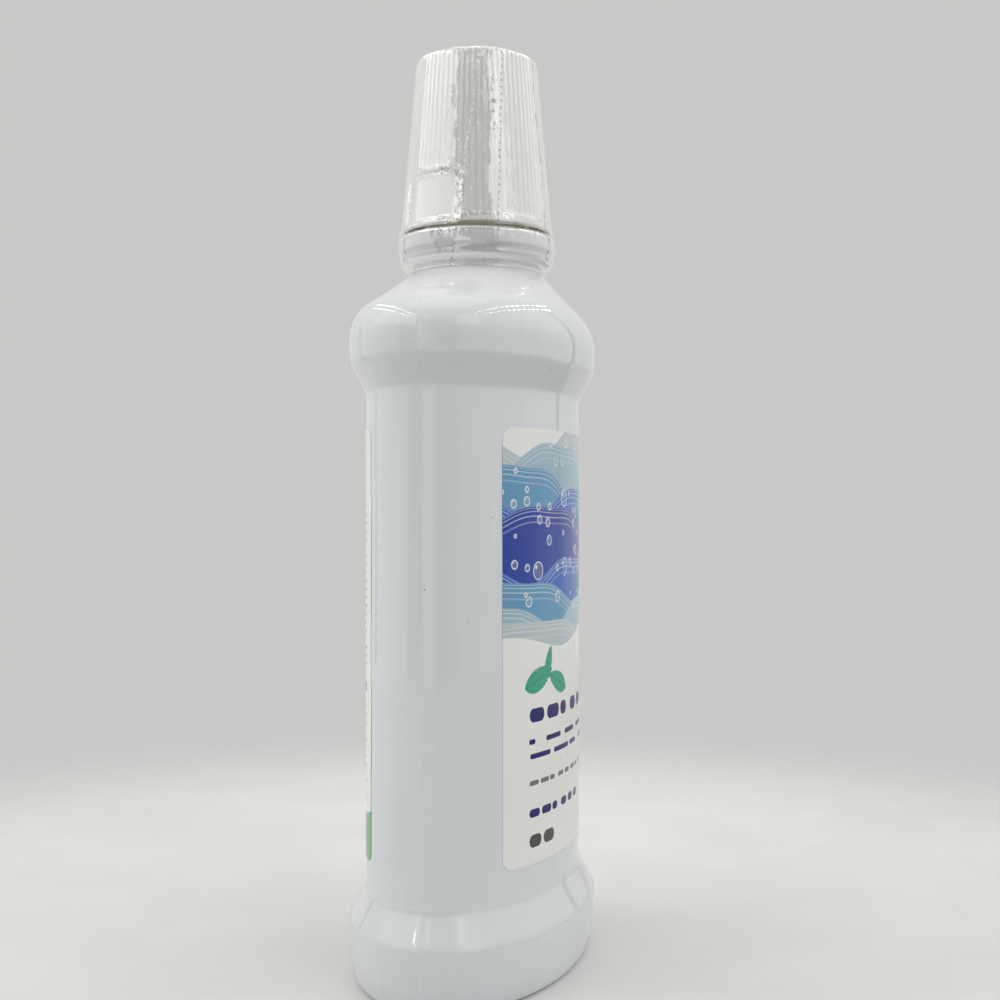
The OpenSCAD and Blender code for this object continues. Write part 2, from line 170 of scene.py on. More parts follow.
def spread(fine, bend, shape_columns=3):
    """Picks rows of a fine path: one for each `bend` degrees that it turns, and one for each stride of
    length, where the last column says the stride. Both are counts that add up along the path, so the rows
    are where their sum passes a whole number."""
    place = fine[:, :shape_columns]
    steps = np.diff(place, axis=0)
    size = np.maximum(np.linalg.norm(steps, axis=1), 1e-9)
    heading = steps / size[:, None]
    turn = np.degrees(np.arccos(np.clip((heading[1:] * heading[:-1]).sum(axis=1), -1, 1)))
    count = np.concatenate([[0], np.cumsum(size / fine[1:, -1])])
    count[1:-1] += np.cumsum(turn) / bend
    count[-1] = count[-2] + size[-1] / fine[-1, -1]
    marks = np.linspace(0, count[-1], int(np.ceil(count[-1])) + 1)
    return at_length(fine, count, marks)


# %% Turn a grid of points into a mesh
def grid_faces(rows, columns, closed, first=0):
    """Four-cornered faces between the rows of a grid, whose columns may close on themselves."""
    index = first + np.arange(rows * columns).reshape(rows, columns)
    if closed:
        index = np.concatenate([index, index[:, :1]], axis=1)
    return np.stack([index[:-1, :-1], index[:-1, 1:], index[1:, 1:], index[1:, :-1]], axis=-1).reshape(-1, 4)


def fan_faces(pole, ring, turned):
    """Three-cornered faces from one pole to a closed ring of points."""
    after = np.roll(ring, -1)
    corners = [np.full_like(ring, pole), after, ring] if turned else [np.full_like(ring, pole), ring, after]
    return np.stack(corners, axis=-1)


def make_piece(name, points, faces, sharp=None):
    """A mesh object from points in millimetres and arrays of faces, shaded smooth."""
    corners = np.concatenate([f.ravel() for f in faces])
    sizes = np.concatenate([np.full(len(f), f.shape[1]) for f in faces])
    mesh = bpy.data.meshes.new(name)
    mesh.vertices.add(len(points))
    mesh.vertices.foreach_set("co", (points * MM).astype(np.float32).ravel())
    mesh.loops.add(len(corners))
    mesh.loops.foreach_set("vertex_index", corners.astype(np.int32))
    mesh.polygons.add(len(sizes))
    mesh.polygons.foreach_set("loop_start", (np.cumsum(sizes) - sizes).astype(np.int32))
    mesh.update(calc_edges=True)
    mesh.validate()
    mesh.shade_smooth()
    if sharp:
        mesh.set_sharp_from_angle(angle=np.radians(sharp))
    piece = bpy.data.objects.new(name, mesh)
    bpy.context.scene.collection.objects.link(piece)
    triangles = int((sizes - 2).sum())
    print(f"{name}: {len(points)} points, {triangles} triangles")
    return piece


def closed_shell(name, points, poles, sharp=None):
    """A shell from a grid whose columns close, with a pole at each end of its rows."""
    rows, columns = points.shape[:2]
    flat = np.concatenate([points.reshape(-1, 3), np.array(poles, float)])
    walls = grid_faces(rows, columns, True)
    last = rows * columns
    ring = np.arange(columns)
    faces = [walls, fan_faces(last, ring, True), fan_faces(last + 1, last - columns + ring, False)]
    return make_piece(name, flat, faces, sharp)


# %% [markdown]
# ## Smooth random heights
#
# Wrinkles in film and the slow waves of a blown wall aren't regular. Value noise makes them: seeded random
# values sit on a lattice, and a smooth step blends between them. Here the lattice closes on itself round
# the bottle's axis, so no seam shows, and the same seed gives the same wrinkles on each run.

# %% Value noise on a lattice that closes round the axis
def smooth_step(value):
    """Rises from 0 to 1 with no kink at either end: three squares less two cubes."""
    value = np.clip(value, 0, 1)
    return value * value * (3 - 2 * value)


def random_heights(turn, along, cells_round, cell_length, seed):
    """Value noise from 0 to 1. turn is the share of a full turn, and along a length of zero or more."""
    rows = int(np.max(along) / cell_length) + 3
    lattice = np.random.default_rng(seed).random((rows, cells_round))
    x = (turn % 1) * cells_round
    y = along / cell_length
    column = np.floor(x).astype(int)
    row = np.floor(y).astype(int)
    x_share = smooth_step(x - column)
    y_share = smooth_step(y - row)
    right = (column + 1) % cells_round
    column = column % cells_round
    low = lattice[row, column] * (1 - x_share) + lattice[row, right] * x_share
    high = lattice[row + 1, column] * (1 - x_share) + lattice[row + 1, right] * x_share
    return low * (1 - y_share) + high * y_share


def creases(turn, along, cells_round, cell_length, seed):
    """Thin raised lines where value noise passes its middle: one less its doubled distance from 0.5."""
    heights = random_heights(turn, along, cells_round, cell_length, seed)
    return (1 - np.abs(2 * heights - 1)) ** 3


# %% [markdown]
# ## The bottle
#
# The real body is blown in a mould with two halves. Its section is an oval that keeps its proportions only
# roughly: the panel, the sloping bands, the foot and the shoulder each have their own half width and half
# depth, and the shoulder turns into the round neck. One path with a half width, a half depth and a height
# carries all of it, from the middle of the hollow base, up the outside, over the lip and down the inside.

# %% Outlines of the foot and the shoulder
neck_root_r = neck_r - 0.5


def foot_curve(points=40):
    """Superellipse round the bottom edge: out = full - round * (1 - (1 - t^n)^(1/n)), where t falls from 1
    to 0 going up."""
    t = np.linspace(1, 0, points) ** 1.5
    out = foot_out - foot_round * (1 - (1 - t ** foot_fullness) ** (1 / foot_fullness))
    return np.column_stack([panel_a + out, panel_b + out, foot_h * (1 - t)])


def shoulder_half(width, radius, height):
    """Half width at a height above the widest level: a circle that starts upright, and from the point where
    its tangent aims at the neck's root, that tangent."""
    centre = width - radius
    reach = neck_root_r - centre
    start = np.arctan2(shoulder_h, reach) - np.arccos(radius / np.hypot(reach, shoulder_h))
    x = centre + radius * np.cos(start)
    y = radius * np.sin(start)
    round_part = centre + np.sqrt(np.maximum(radius ** 2 - np.minimum(height, y) ** 2, 0))
    slope_part = x + (neck_root_r - x) * (height - y) / (shoulder_h - y)
    return np.where(height <= y, round_part, slope_part)


def soft_max(value, floor, blend):
    """The larger of two values, with a fillet where they are near each other."""
    return (value + floor + np.sqrt((value - floor) ** 2 + blend ** 2)) / 2


def shoulder_curve(points=60):
    """The shoulder from its widest level up, with a fillet into the round neck."""
    height = np.linspace(0, shoulder_h, points)
    a = soft_max(shoulder_half(wide_a, end_round, height), neck_r, 0.8)
    b = soft_max(shoulder_half(wide_b, face_round, height), neck_r, 0.8)
    return np.column_stack([a, b, z_wide + height])


def swell_curve(points=8):
    """From the crease to the widest level, standing out by the sine of a quarter turn."""
    share = np.linspace(0, 1, points)[:-1]
    out = shoulder_out + shoulder_swell * np.sin(share * np.pi / 2)
    return np.column_stack([panel_a + out, panel_b + out, z_crease + shoulder_rise * share])


# %% The whole path of the bottle
def stretch(points, reach, stride):
    """Points of the path with the reach that softens them and the stride between rows there."""
    points = np.array(points, float)
    return np.column_stack([points, np.full(len(points), reach), np.full(len(points), stride)])


def ring_stretch(points, reach, stride):
    """The same for round rows, given as radius and height."""
    points = np.array(points, float)
    return stretch(np.column_stack([points[:, 0], points[:, 0], points[:, 1]]), reach, stride)


def bead_curve(points=24):
    """The round bead under the collar, from the neck out and up to the upright band."""
    low = -np.pi + np.arccos((bead_centre_r - neck_r) / bead_r)
    high = np.radians(20)
    angle = np.linspace(low, high, points)
    return np.column_stack([bead_centre_r + bead_r * np.cos(angle), z_bead + bead_r * np.sin(angle)])


stand_a = panel_a + foot_out - foot_round - stand_w
stand_b = panel_b + foot_out - foot_round - stand_w
pole_r = 0.4
base_path = stretch([[pole_r, pole_r, punt_h], [punt_share * stand_a, punt_share * stand_b, punt_h],
                     [stand_a, stand_b, 0]], 1.2, 3)
outside_path = np.concatenate([
    base_path,
    stretch(foot_curve(), 0.3, 1.5),
    stretch([[panel_a + foot_out, panel_b + foot_out, foot_h]], 1.3, 1.2),
    stretch([[panel_a, panel_b, z_panel]], 1.1, 1.2),
    stretch([[panel_a, panel_b, z_panel + 4], [panel_a, panel_b, z_panel_top - 4]], 0.8, 3.5),
    stretch([[panel_a, panel_b, z_panel_top]], 0.7, 1.0),
    stretch(swell_curve()[:1], 0.8, 0.8),
    stretch(swell_curve()[1:], 0.3, 0.8),
    stretch(shoulder_curve(), 0.3, 0.9),
    ring_stretch(bead_curve(), 0.2, 0.5),
    ring_stretch([band_foot, band_start], 0.7, 0.5),
    ring_stretch([[collar_r, z_band + 1.6], [collar_r, z_collar_top - collar_bevel],
                  [collar_r - collar_bevel, z_collar_top]], 0.25, 0.6),
    ring_stretch([[mouth_r, z_collar_top]], 0.2, 0.4),
])
print("outside path:", len(outside_path), "points, height", outside_path[:, 2].max())

# %% The lip and the inside, which the cap hides
hollow_ease = 0.25
hollow_bevel = 0.7
bead_flank_h = 1.3
hollow_r = collar_r - bead_inset - neck_wall - hollow_ease
z_hollow = z_collar_top - neck_wall
lip_path = ring_stretch([[mouth_r, z_mouth - lip_round], [mouth_r - lip_round, z_mouth],
                         [mouth_bore_r, z_mouth]], 0.1, 0.2)
bore_path = ring_stretch([
    [mouth_bore_r, z_collar_top], [mouth_bore_r + neck_wall, z_hollow],
    [hollow_r - hollow_bevel, z_hollow], [hollow_r, z_hollow - hollow_bevel],
    [hollow_r, z_bead + bead_flank_h], [neck_r - neck_wall, z_bead - bead_flank_h],
    [neck_r - neck_wall, z_neck - 1.5]], 0.3, 3)
inner_shoulder = shoulder_curve(14)[::-1] - [wall, wall, wall / 2]
inner_path = np.concatenate([
    stretch(inner_shoulder[2:], 0.5, 3),
    stretch([[panel_a - wall, panel_b - wall, z_panel_top],
             [panel_a - wall, panel_b - wall, z_panel]], 0.8, 12),
    stretch(foot_curve(8)[:0:-1] - [wall, wall, -wall], 0.5, 3),
    stretch([[punt_flank_share * stand_a, punt_flank_share * stand_b, punt_flank_h],
             [punt_share * stand_a, punt_share * stand_b, punt_h + wall],
             [pole_r, pole_r, punt_h + wall]], 0.5, 4),
])
mouth_stride = 0.18
thread_path = ring_stretch([[mouth_r, z_collar_top + 0.5], [mouth_r, z_mouth - 1]], 0.15, mouth_stride)
bottle_path = np.concatenate([outside_path, thread_path, lip_path, bore_path, inner_path])
bottle_rows = spread(soften(bottle_path), bend=9)
print("bottle rows:", len(bottle_rows))

# %% [markdown]
# A blown wall isn't dead flat, so the panel gets slow waves of a few hundredths of a millimetre, which only
# the reflections show. The two halves of the mould meet at the ends of the oval and leave a fine raised
# line there. The labels are stuck on the wavy wall, so the same formula carries them later.

# %% Waves of the wall, the parting line and the thread
wave_h = 0.035
seam_h = 0.07
seam_w = 0.13


def wall_wave(angle, height):
    """How far the panel's wall stands out at an angle of the oval: two slow sines, faded out at its ends."""
    slow = np.sin(height / 6.5 + 1.1 + 1.3 * np.sin(angle + 0.4))
    quick = 0.5 * np.sin(height / 3.7 + 2.1 * np.cos(2 * angle))
    fade = smooth_step((height - z_panel) / 12) * smooth_step((z_panel_top - height) / 12)
    return wave_h * (slow + quick) * fade


def thread_height(angle, height):
    """How far the screw thread stands out: a trapezium round the helix, fading out at its two ends."""
    total = np.zeros(np.broadcast(angle, height).shape)
    for turn in range(2):
        along = (angle % (2 * np.pi)) / (2 * np.pi) + turn
        middle = z_thread + thread_pitch * along
        beside = np.abs(height - middle)
        flank = (thread_root_w / 2 - beside) / (thread_root_w / 2 - thread_tip_w / 2)
        fade = smooth_step(along / 0.1) * smooth_step((thread_turns - along) / 0.1)
        total = np.maximum(total, thread_depth * np.clip(flank, 0, 1) * fade)
    return total


def seam_angles(offsets, half_depth):
    """Angles of the oval that lie these distances to the side of its two ends."""
    near = np.arcsin(np.array(offsets) / half_depth)
    return np.concatenate([near % (2 * np.pi), np.pi - near])


# %% Put the bottle together
columns_round = 164
even = np.arange(columns_round) * 2 * np.pi / columns_round
even = even[np.abs(np.sin(even)) > 0.02]
side = np.array([0, 0.07, 0.14, 0.22, 0.34])
angles = np.unique(np.concatenate([even, seam_angles(np.concatenate([-side[1:], side]), panel_b)]).round(9))

half_a = bottle_rows[:, 0:1]
half_b = bottle_rows[:, 1:2]
level = bottle_rows[:, 2:3]
outside_count = int(np.argmax(bottle_rows[:, 2]))
is_outside = (np.arange(len(bottle_rows)) < outside_count)[:, None]
lift = wall_wave(angles, level) * is_outside
on_mouth = is_outside & (level > z_collar_top + 0.3) & (half_a < mouth_r + 0.1)
lift = lift + thread_height(angles, level) * on_mouth
flat_normal = np.stack([half_b * np.cos(angles), half_a * np.sin(angles)], axis=-1)
flat_normal /= np.linalg.norm(flat_normal, axis=-1, keepdims=True)
x = half_a * np.cos(angles) + lift * flat_normal[..., 0]
y = half_b * np.sin(angles) + lift * flat_normal[..., 1]
seam_fade = is_outside * smooth_step((level - 2) / 4) * (level < z_collar_top - collar_bevel)
x = x + np.sign(np.cos(angles)) * seam_h * np.exp(-(y / seam_w) ** 2) * seam_fade
bottle_points = np.stack([x, y, np.broadcast_to(level, x.shape)], axis=-1)
bottle_shell = closed_shell("bottle_shell", bottle_points, [[0, 0, punt_h], [0, 0, punt_h + wall]], sharp=50)
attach(bottle_shell, "bottle")
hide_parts("bottle")

# %% [markdown]
# ## The ribbed cap
#
# The real cap is moulded in a tapered tool: its grip ribs keep their number all the way up, so they narrow
# with the cone. Two smooth squeeze pads interrupt them at the lower edge. All of it is one height over the
# cone: the ribs are a function of the angle, the pads and the rim switch them off, and the rounded top edge
# cuts them. Columns sit closest where the narrow grooves are.

# %% Sizes of the cap
cap_r = 17.9
cap_top_r = 14.25
cap_h = z_cap_top - z_cap
cap_round = 1.25
cap_wall = 1.1
cap_top_wall = 1.4
rib_count = 72
rib_h = 0.4
groove_share = 0.15
rim_h = 1.4
pad_w = 15.4
pad_h = 12.2
pad_round = 3.0
pad_angle = np.radians(157)
lug_depth = 1.0
lock_clear = 0.4
lug_w = 4.0
lug_foot = 0.2
lug_top = 1.9
snap_depth = 0.6
snap_rise = 2.35
snap_flank_w = 0.18
drive_rib_count = 6
drive_rib_r = 13.65
drive_rib_w = 1.0
drive_rib_gap = 0.25
gate_depth = 0.12
z_ledge_top = z_mouth + 1.9
stop_h = 3.2
stop_w = 1.6
stop_ramp_w = 2.4


def cap_core_r(height):
    """Radius of the cap's smooth cone at a height."""
    return cap_r + (cap_top_r - cap_r) * (height - z_cap) / cap_h


def rounded_patch(across, up, half_w, half_h, rounding):
    """Signed distance to a rectangle with round corners: less than zero inside it."""
    dx = np.abs(across) - (half_w - rounding)
    dy = np.abs(up) - (half_h - rounding)
    return np.hypot(np.maximum(dx, 0), np.maximum(dy, 0)) + np.minimum(np.maximum(dx, dy), 0) - rounding


# %% Ribs, pads and rim as heights over the cone
def rib_height(angle):
    """Crowned ribs with a wide rounded groove between each two: one less a bell round the groove."""
    share = (angle * rib_count / (2 * np.pi)) % 1
    from_groove = np.minimum(share, 1 - share)
    return rib_h * (1 - 0.14 * (2 * share - 1) ** 2 - 0.72 * np.exp(-(from_groove / groove_share) ** 2))


def pad_distance(angle, height):
    """Signed distance to the edge of the nearer squeeze pad, less than zero on the pad."""
    across = cap_core_r(height) * np.sin(angle - pad_angle)
    middle = z_cap + pad_h / 2 - pad_round
    return rounded_patch(across, height - middle, pad_w / 2, pad_h / 2 + pad_round, pad_round)


def pad_mask(angle, height):
    """1 on the two squeeze pads and 0 on the ribs, with an edge 0.2 mm wide."""
    return smooth_step(0.5 - pad_distance(angle, height) / 0.2)


def cap_outside(angle, height):
    """Radius of the cap's side: cone and ribs, under the rounded top edge."""
    above_rim = smooth_step((height - z_cap - rim_h) / 0.22 + 0.5)
    ribs = rib_height(angle) * above_rim * (1 - pad_mask(angle, height))
    rounding_start = z_cap_top - cap_round
    over = np.clip(height - rounding_start, 0, cap_round)
    edge_r = cap_core_r(rounding_start) + rib_h - cap_round + np.sqrt(cap_round ** 2 - over ** 2)
    return np.minimum(cap_core_r(height) + ribs, np.where(height > rounding_start, edge_r, np.inf))


def cap_inside(angle, height):
    """Radius of the cavity: cone less the snap bead, the two lock lugs and the ribs that drive the cup."""
    cone = cap_core_r(height) - cap_wall
    bead = snap_depth * smooth_step(2 - np.abs(height - z_cap - snap_rise) / snap_flank_w)
    lug_side = np.abs(cone * np.sin(angle - pad_angle - np.pi / 2)) < lug_w / 2
    lug = lug_depth * (lug_side & (height > z_cap + lug_foot) & (height < z_cap + lug_top))
    pitch = 2 * np.pi / drive_rib_count
    from_rib = (angle + pitch / 2) % pitch - pitch / 2
    driver = (np.abs(cone * np.sin(from_rib)) < drive_rib_w / 2) & (height > z_ledge_top + drive_rib_gap)
    return np.where(driver, np.minimum(cone, drive_rib_r), cone - bead - lug)


# %% Put the cap together
rib_shares = np.array([0, 0.06, 0.12, 0.18, 0.25, 0.37, 0.5, 0.63, 0.75, 0.82, 0.88, 0.94])
cap_angles = ((np.arange(rib_count)[:, None] + rib_shares) * 2 * np.pi / rib_count).ravel()
z_pad_top = z_cap + pad_h
top_edge = z_cap_top - cap_round + cap_round * np.sin(np.linspace(np.pi / 2, 0, 9))[1:]
side_levels = np.concatenate([
    np.linspace(top_edge[-1], z_pad_top + 0.4, 16)[1:],
    np.linspace(z_pad_top + 0.2, z_pad_top - 0.2, 5),
    np.linspace(z_pad_top - 0.4, z_pad_top - pad_round, 10),
    np.linspace(z_pad_top - pad_round, z_cap + rim_h + 0.3, 6)[1:],
    z_cap + rim_h + np.array([0.15, 0.08, 0, -0.08, -0.15]),
    z_cap + np.array([0.9, 0.45]),
])
outer_levels = np.concatenate([top_edge, side_levels])[:, None]
outer_r = cap_outside(cap_angles, outer_levels)
rim_steps = np.radians([30, 60, 90])[:, None]
rim_round = 0.3
rim_r = cap_r - rim_round * (1 - np.cos(rim_steps)) + 0 * cap_angles
rim_z = z_cap + rim_round * (1 - np.sin(rim_steps))
z_inner_top = z_cap_top - cap_top_wall
step_rows = np.array([-0.01, 0.01])
inner_levels = np.concatenate([
    [z_cap], z_cap + lug_foot + step_rows, z_cap + lug_top + step_rows,
    z_cap + snap_rise + np.array([-0.3, -0.15, 0.15, 0.3, 0.45]), [z_cap + 6],
    z_ledge_top + drive_rib_gap + step_rows, np.linspace(z_ledge_top + 3, z_inner_top, 6)])[:, None]
inner_r = cap_inside(cap_angles, inner_levels)
top_r = np.array([0.5, 0.85, 1.0, 1.25, 5, 9, 12, 13.2])[:, None]
gate_dip = gate_depth * smooth_step((1.15 - top_r) / 0.3)
roof_r = np.array([10, 5, 0.6])[:, None]

cap_radius = np.concatenate([top_r + 0 * cap_angles, outer_r, rim_r, inner_r, roof_r + 0 * cap_angles])
cap_level = np.concatenate([z_cap_top - gate_dip, outer_levels, rim_z, inner_levels,
                            z_inner_top + 0 * roof_r])
cap_grid = np.stack([cap_radius * np.cos(cap_angles), cap_radius * np.sin(cap_angles),
                     np.broadcast_to(cap_level, cap_radius.shape)], axis=-1)
cap_poles = [[0, 0, z_inner_top], [0, 0, z_cap_top - gate_depth]]
ribbed_cap = closed_shell("ribbed_cap", cap_grid[::-1], cap_poles, sharp=55)
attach(ribbed_cap, "cap")
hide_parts("outer_cap")

# %% [markdown]
# ## The labels
#
# Each label is a sheet cut flat and then wrapped round the panel, so its print must be laid out on the flat
# sheet: the sheet's own across and up, in millimetres, are kept as an attribute on each point. Across is
# the length along the oval, and not the straight distance. The sheet has its real thickness, with a front,
# a back and an edge, and its corners are round because each row is as wide as the corner allows.

# %% Wrap a sheet round the panel
label_gap = 0.03
label_t = 0.12
label_round = 2.8
label_half_w = label_high[0]
label_foot = label_low[2]
label_h = label_high[2] - label_low[2]


def oval_length(half_a, half_b, across, points=400):
    """Length along the oval from its middle to a straight distance across, by adding up short chords."""
    x = np.linspace(0, np.max(np.abs(across)), points)
    y = half_b * np.sqrt(1 - (x / half_a) ** 2)
    length = running_length(np.column_stack([x, y]))
    return np.sign(across) * np.interp(np.abs(across), x, length)


def sheet_layer(across, up, out):
    """Points of the front sheet at a distance out of the panel, with the panel's own waves."""
    angle = -np.arccos(across / panel_a) % (2 * np.pi)
    height = label_foot + up
    out = out + wall_wave(angle, height)
    normal = np.stack([panel_b * np.cos(angle), panel_a * np.sin(angle)], axis=-1)
    normal /= np.linalg.norm(normal, axis=-1, keepdims=True)
    x = panel_a * np.cos(angle) + out * normal[..., 0]
    y = panel_b * np.sin(angle) + out * normal[..., 1]
    return np.stack([x, y, height + 0 * x], axis=-1)


def make_label(name, behind):
    """A label: two layers of one grid, closed along their border, with the flat sheet's place on each
    point."""
    corner = label_round * (1 - np.cos(np.linspace(0, np.pi / 2, 9)))
    straight = np.linspace(label_round, label_h - label_round, 42)[1:-1]
    up = np.concatenate([corner, straight, (label_h - corner)[::-1]])
    from_end = np.maximum(label_round - np.minimum(up, label_h - up), 0)
    half = label_half_w - label_round + np.sqrt(label_round ** 2 - from_end ** 2)
    share = np.sin(np.linspace(-np.pi / 2, np.pi / 2, 61)) * 0.35 + np.linspace(-1, 1, 61) * 0.65
    across = half[:, None] * share
    up = up[:, None] + 0 * across
    rows, columns = across.shape
    bevel = 0.04
    front = sheet_layer(across * (1 - bevel / half[:, None]), up, label_gap + label_t)
    back = sheet_layer(across, up, label_gap)
    edge = sheet_layer(across, up, label_gap + label_t - bevel)
    border = np.concatenate([np.arange(columns), np.arange(1, rows) * columns + columns - 1,
                             (rows - 1) * columns + np.arange(columns - 1)[::-1],
                             np.arange(1, rows - 1)[::-1] * columns])
    points = np.concatenate([front.reshape(-1, 3), back.reshape(-1, 3), edge.reshape(-1, 3)[border]])
    count = rows * columns
    rim = 2 * count + np.arange(len(border))
    next_rim = np.roll(rim, -1)
    next_border = np.roll(border, -1)
    faces = [grid_faces(rows, columns, False), grid_faces(rows, columns, False, count)[:, ::-1],
             np.stack([border, rim, next_rim, next_border], axis=-1),
             np.stack([rim, count + border, count + next_border, next_rim], axis=-1)]
    if behind:
        points = points * [-1, -1, 1]
    piece = make_piece(name, points, faces, sharp=35)
    flat = oval_length(panel_a, panel_b, across)
    place = np.stack([flat, up, 0 * up], axis=-1).reshape(-1, 3)
    place = np.concatenate([place, place, place[border]])
    attribute = piece.data.attributes.new("sheet_place", "FLOAT_VECTOR", "POINT")
    attribute.data.foreach_set("vector", place.astype(np.float32).ravel())
    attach(piece, "bottle")
    print(name, "flat size", round(2 * flat.max(), 1), "by", round(label_h, 1), "mm")
    return piece


front_sheet = make_label("front_sheet", behind=False)
back_sheet = make_label("back_sheet", behind=True)
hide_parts("front_label")
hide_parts("back_label")

# %% [markdown]
# The two lock stops stand on the collar, inside the cap, where its lugs catch on them until the pads are
# squeezed. Each is a small upright wedge with its catching face square to the turn and a ramp behind it.

# %% The lock stops on the collar
def wedge(outline, foot, top, bevel):
    """Points and faces of an upright prism with a bevelled top. The outline runs anticlockwise. Three rings
    stand over each other, and the last is drawn in towards the outline's middle by the bevel."""
    outline = np.array(outline, float)
    inward = outline.mean(axis=0) - outline
    inward *= bevel / np.linalg.norm(inward, axis=1, keepdims=True)
    count = len(outline)
    rings = [np.column_stack([outline + inward * drawn, np.full(count, height)])
             for drawn, height in ((0, foot), (0, top - bevel), (1, top))]
    floor = np.arange(count)[None, ::-1]
    roof = 2 * count + np.arange(count)[None]
    return np.concatenate(rings), grid_faces(3, count, True), floor, roof


stop_sunk = 0.2
stop_bevel = 0.2
stop_r = cap_r - cap_wall - lug_depth - lock_clear
stop_root_r = mouth_r - stop_sunk
stop_outline = [[stop_root_r, -stop_w / 2], [stop_r, -stop_w / 2], [stop_r, stop_w / 2],
                [stop_root_r, stop_w / 2 + stop_ramp_w]]
stop_points, stop_faces, first = [], [], 0
for turn in (pad_angle + np.pi / 2, pad_angle - np.pi / 2):
    points, *faces = wedge(stop_outline, z_collar_top - stop_sunk, z_collar_top + stop_h, stop_bevel)
    across, up = points[:, :2].T.copy()
    points[:, 0] = across * np.cos(turn) - up * np.sin(turn)
    points[:, 1] = across * np.sin(turn) + up * np.cos(turn)
    stop_points.append(points)
    stop_faces += [part + first for part in faces]
    first += len(points)
lock_stops = make_piece("lock_stops", np.concatenate(stop_points), stop_faces, sharp=30)
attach(lock_stops, "bottle")
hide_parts("bottle")

# %% [markdown]
# ## The shrink film
#
# The film is drawn tight over the ribs by heat, folds in over the top, bridges the gap to the collar and
# grips the neck below the bead. Where it had nothing to shrink onto it wrinkled. Two slanted lines of small
# holes make the tear strip. The film is split where the cap parts from the collar, so that the cap can
# turn, and along the two lines, so the strip is a piece of its own. Along those lines both edges have the
# same half-round notches, so that together they are the holes. Each edge's columns lie close together, so
# that a hole stays round, and a Solidify modifier gives the sheet its thickness.

# %% Sizes of the film
film_t = 0.15
film_gap = 0.05
film_lap = 3.0
hole_pitch = 1.7
hole_r = 0.14
hole_rim_h = 0.06
hole_rim_w = 0.16
cut_gap = 0.02
edge_columns = np.array([0, 0.13, 0.28, 0.45, 0.65, 0.9, 1.25])
edge_wave_h = 0.5
free_edge_w = 2.5
free_edge_lift = 0.03
strip_angle = np.radians(201)
strip_lean = 2.2
strip_top_w = 5.0
strip_foot_w = 10.8
window_top = z_cap_top + 1
window_foot = z_neck - 1
pad_sink_h = 0.25
pad_sink_w = 1.2
pad_fold_h = 0.2


def strip_edge(radius, height, edge):
    """Angle of a perforated line: edge is -1 for the first line and 1 for the second. The line is straight
    seen square to the strip, so its angle is the arcsine of its offset over the radius."""
    share = (window_top - height) / (window_top - window_foot)
    middle = strip_lean * (1 - 2 * share)
    half = (strip_top_w + (strip_foot_w - strip_top_w) * share) / 2
    return strip_angle + np.arcsin((middle + edge * half) / radius)


def from_hole(along):
    """Length along the film to the nearest hole's middle."""
    return np.abs(along % hole_pitch - hole_pitch / 2)


def notched_marks(length):
    """Running lengths with five rows across each hole and one between holes."""
    offsets = np.array([-1.001, -0.6, 0, 0.6, 1.001]) * hole_r + hole_pitch / 2
    offsets = np.append(offsets, hole_pitch)
    marks = (np.arange(int(length / hole_pitch) + 1)[:, None] * hole_pitch + offsets).ravel()
    return np.concatenate([[0], marks[marks < length - 0.05], [length]])


# %% Wrinkles of the film
def near(value, place, reach):
    """1 where a value is at a place, falling smoothly to 0 over the reach."""
    return smooth_step(1 - np.abs(value - place) / reach)


def crumpling(angle, along, height):
    """How crumpled the film is, from 0 to 1: most where it folds in at the top, steps down to the rim and
    the pads, rounds the collar's edge and ends on the neck, and there only in patches, and in two upright
    columns beside the tear strip. It falls to -1 where the film lies smooth, on a pad and low on the
    collar."""
    turn = angle / (2 * np.pi)
    patch = smooth_step((random_heights(turn, along, 16, 6.0, 17) - 0.22) / 0.35)
    pad_edge = near(pad_distance(angle, height), -0.4, 1.7) * (height > z_cap)
    levels = [(z_cap_top - 0.4, 1.8), (z_cap + rim_h, 1.2), (z_collar_top - 0.6, 1.8), (z_neck, 1.2)]
    column = np.maximum(near(angle, np.radians(171.5), 0.13) * near(height, z_cap + 12, 11),
                        near(angle, np.radians(212), 0.15) * near(height, z_cap + 26, 16))
    ring = np.maximum.reduce([near(height, level, reach) for level, reach in levels])
    over_gap = (height < z_cap) & (height > z_collar_top + 0.1)
    on_pad = smooth_step((-1 - pad_distance(angle, height)) / 1.2) * (height > z_cap + rim_h)
    calm = np.maximum(on_pad, near(height, z_band + 0.6, 1.6))
    crumple = np.maximum(np.maximum(ring, pad_edge) * patch, 0.7 * column)
    return crumple * ~over_gap * (1 - calm) - calm


def film_lift(angle, along, crumple):
    """How far the film stands off what it covers: slow swells and creases that run mostly upright, and more
    and shorter creases where it is crumpled."""
    turn = angle / (2 * np.pi)
    swell = random_heights(turn, along, 30, 6.0, 11)
    fine = creases(turn, along, 110, 2.6, 12) * random_heights(turn, along, 22, 7.0, 13)
    steep = creases(turn + along / 260, along, 150, 1.4, 14) * random_heights(turn, along, 30, 5.0, 15)
    short = creases(turn - along / 190, along, 120, 0.9, 18) + 0.6 * creases(turn, along, 96, 1.3, 19)
    crumpled = np.maximum(crumple, 0)
    drawn = 1 + np.minimum(crumple, 0)
    return 0.02 * swell + drawn * (0.03 * fine + 0.025 * steep) + crumpled * (0.07 * short + 0.04 * steep)


def pad_sink(angle, height):
    """How far the film draws in over the squeeze pads, down a smooth slope with a small fold round it."""
    distance = pad_distance(angle, height)
    sink = pad_sink_h * smooth_step(0.5 - distance / pad_sink_w) - pad_fold_h * near(distance, 0.7, 1.0)
    return sink * (height > z_cap)


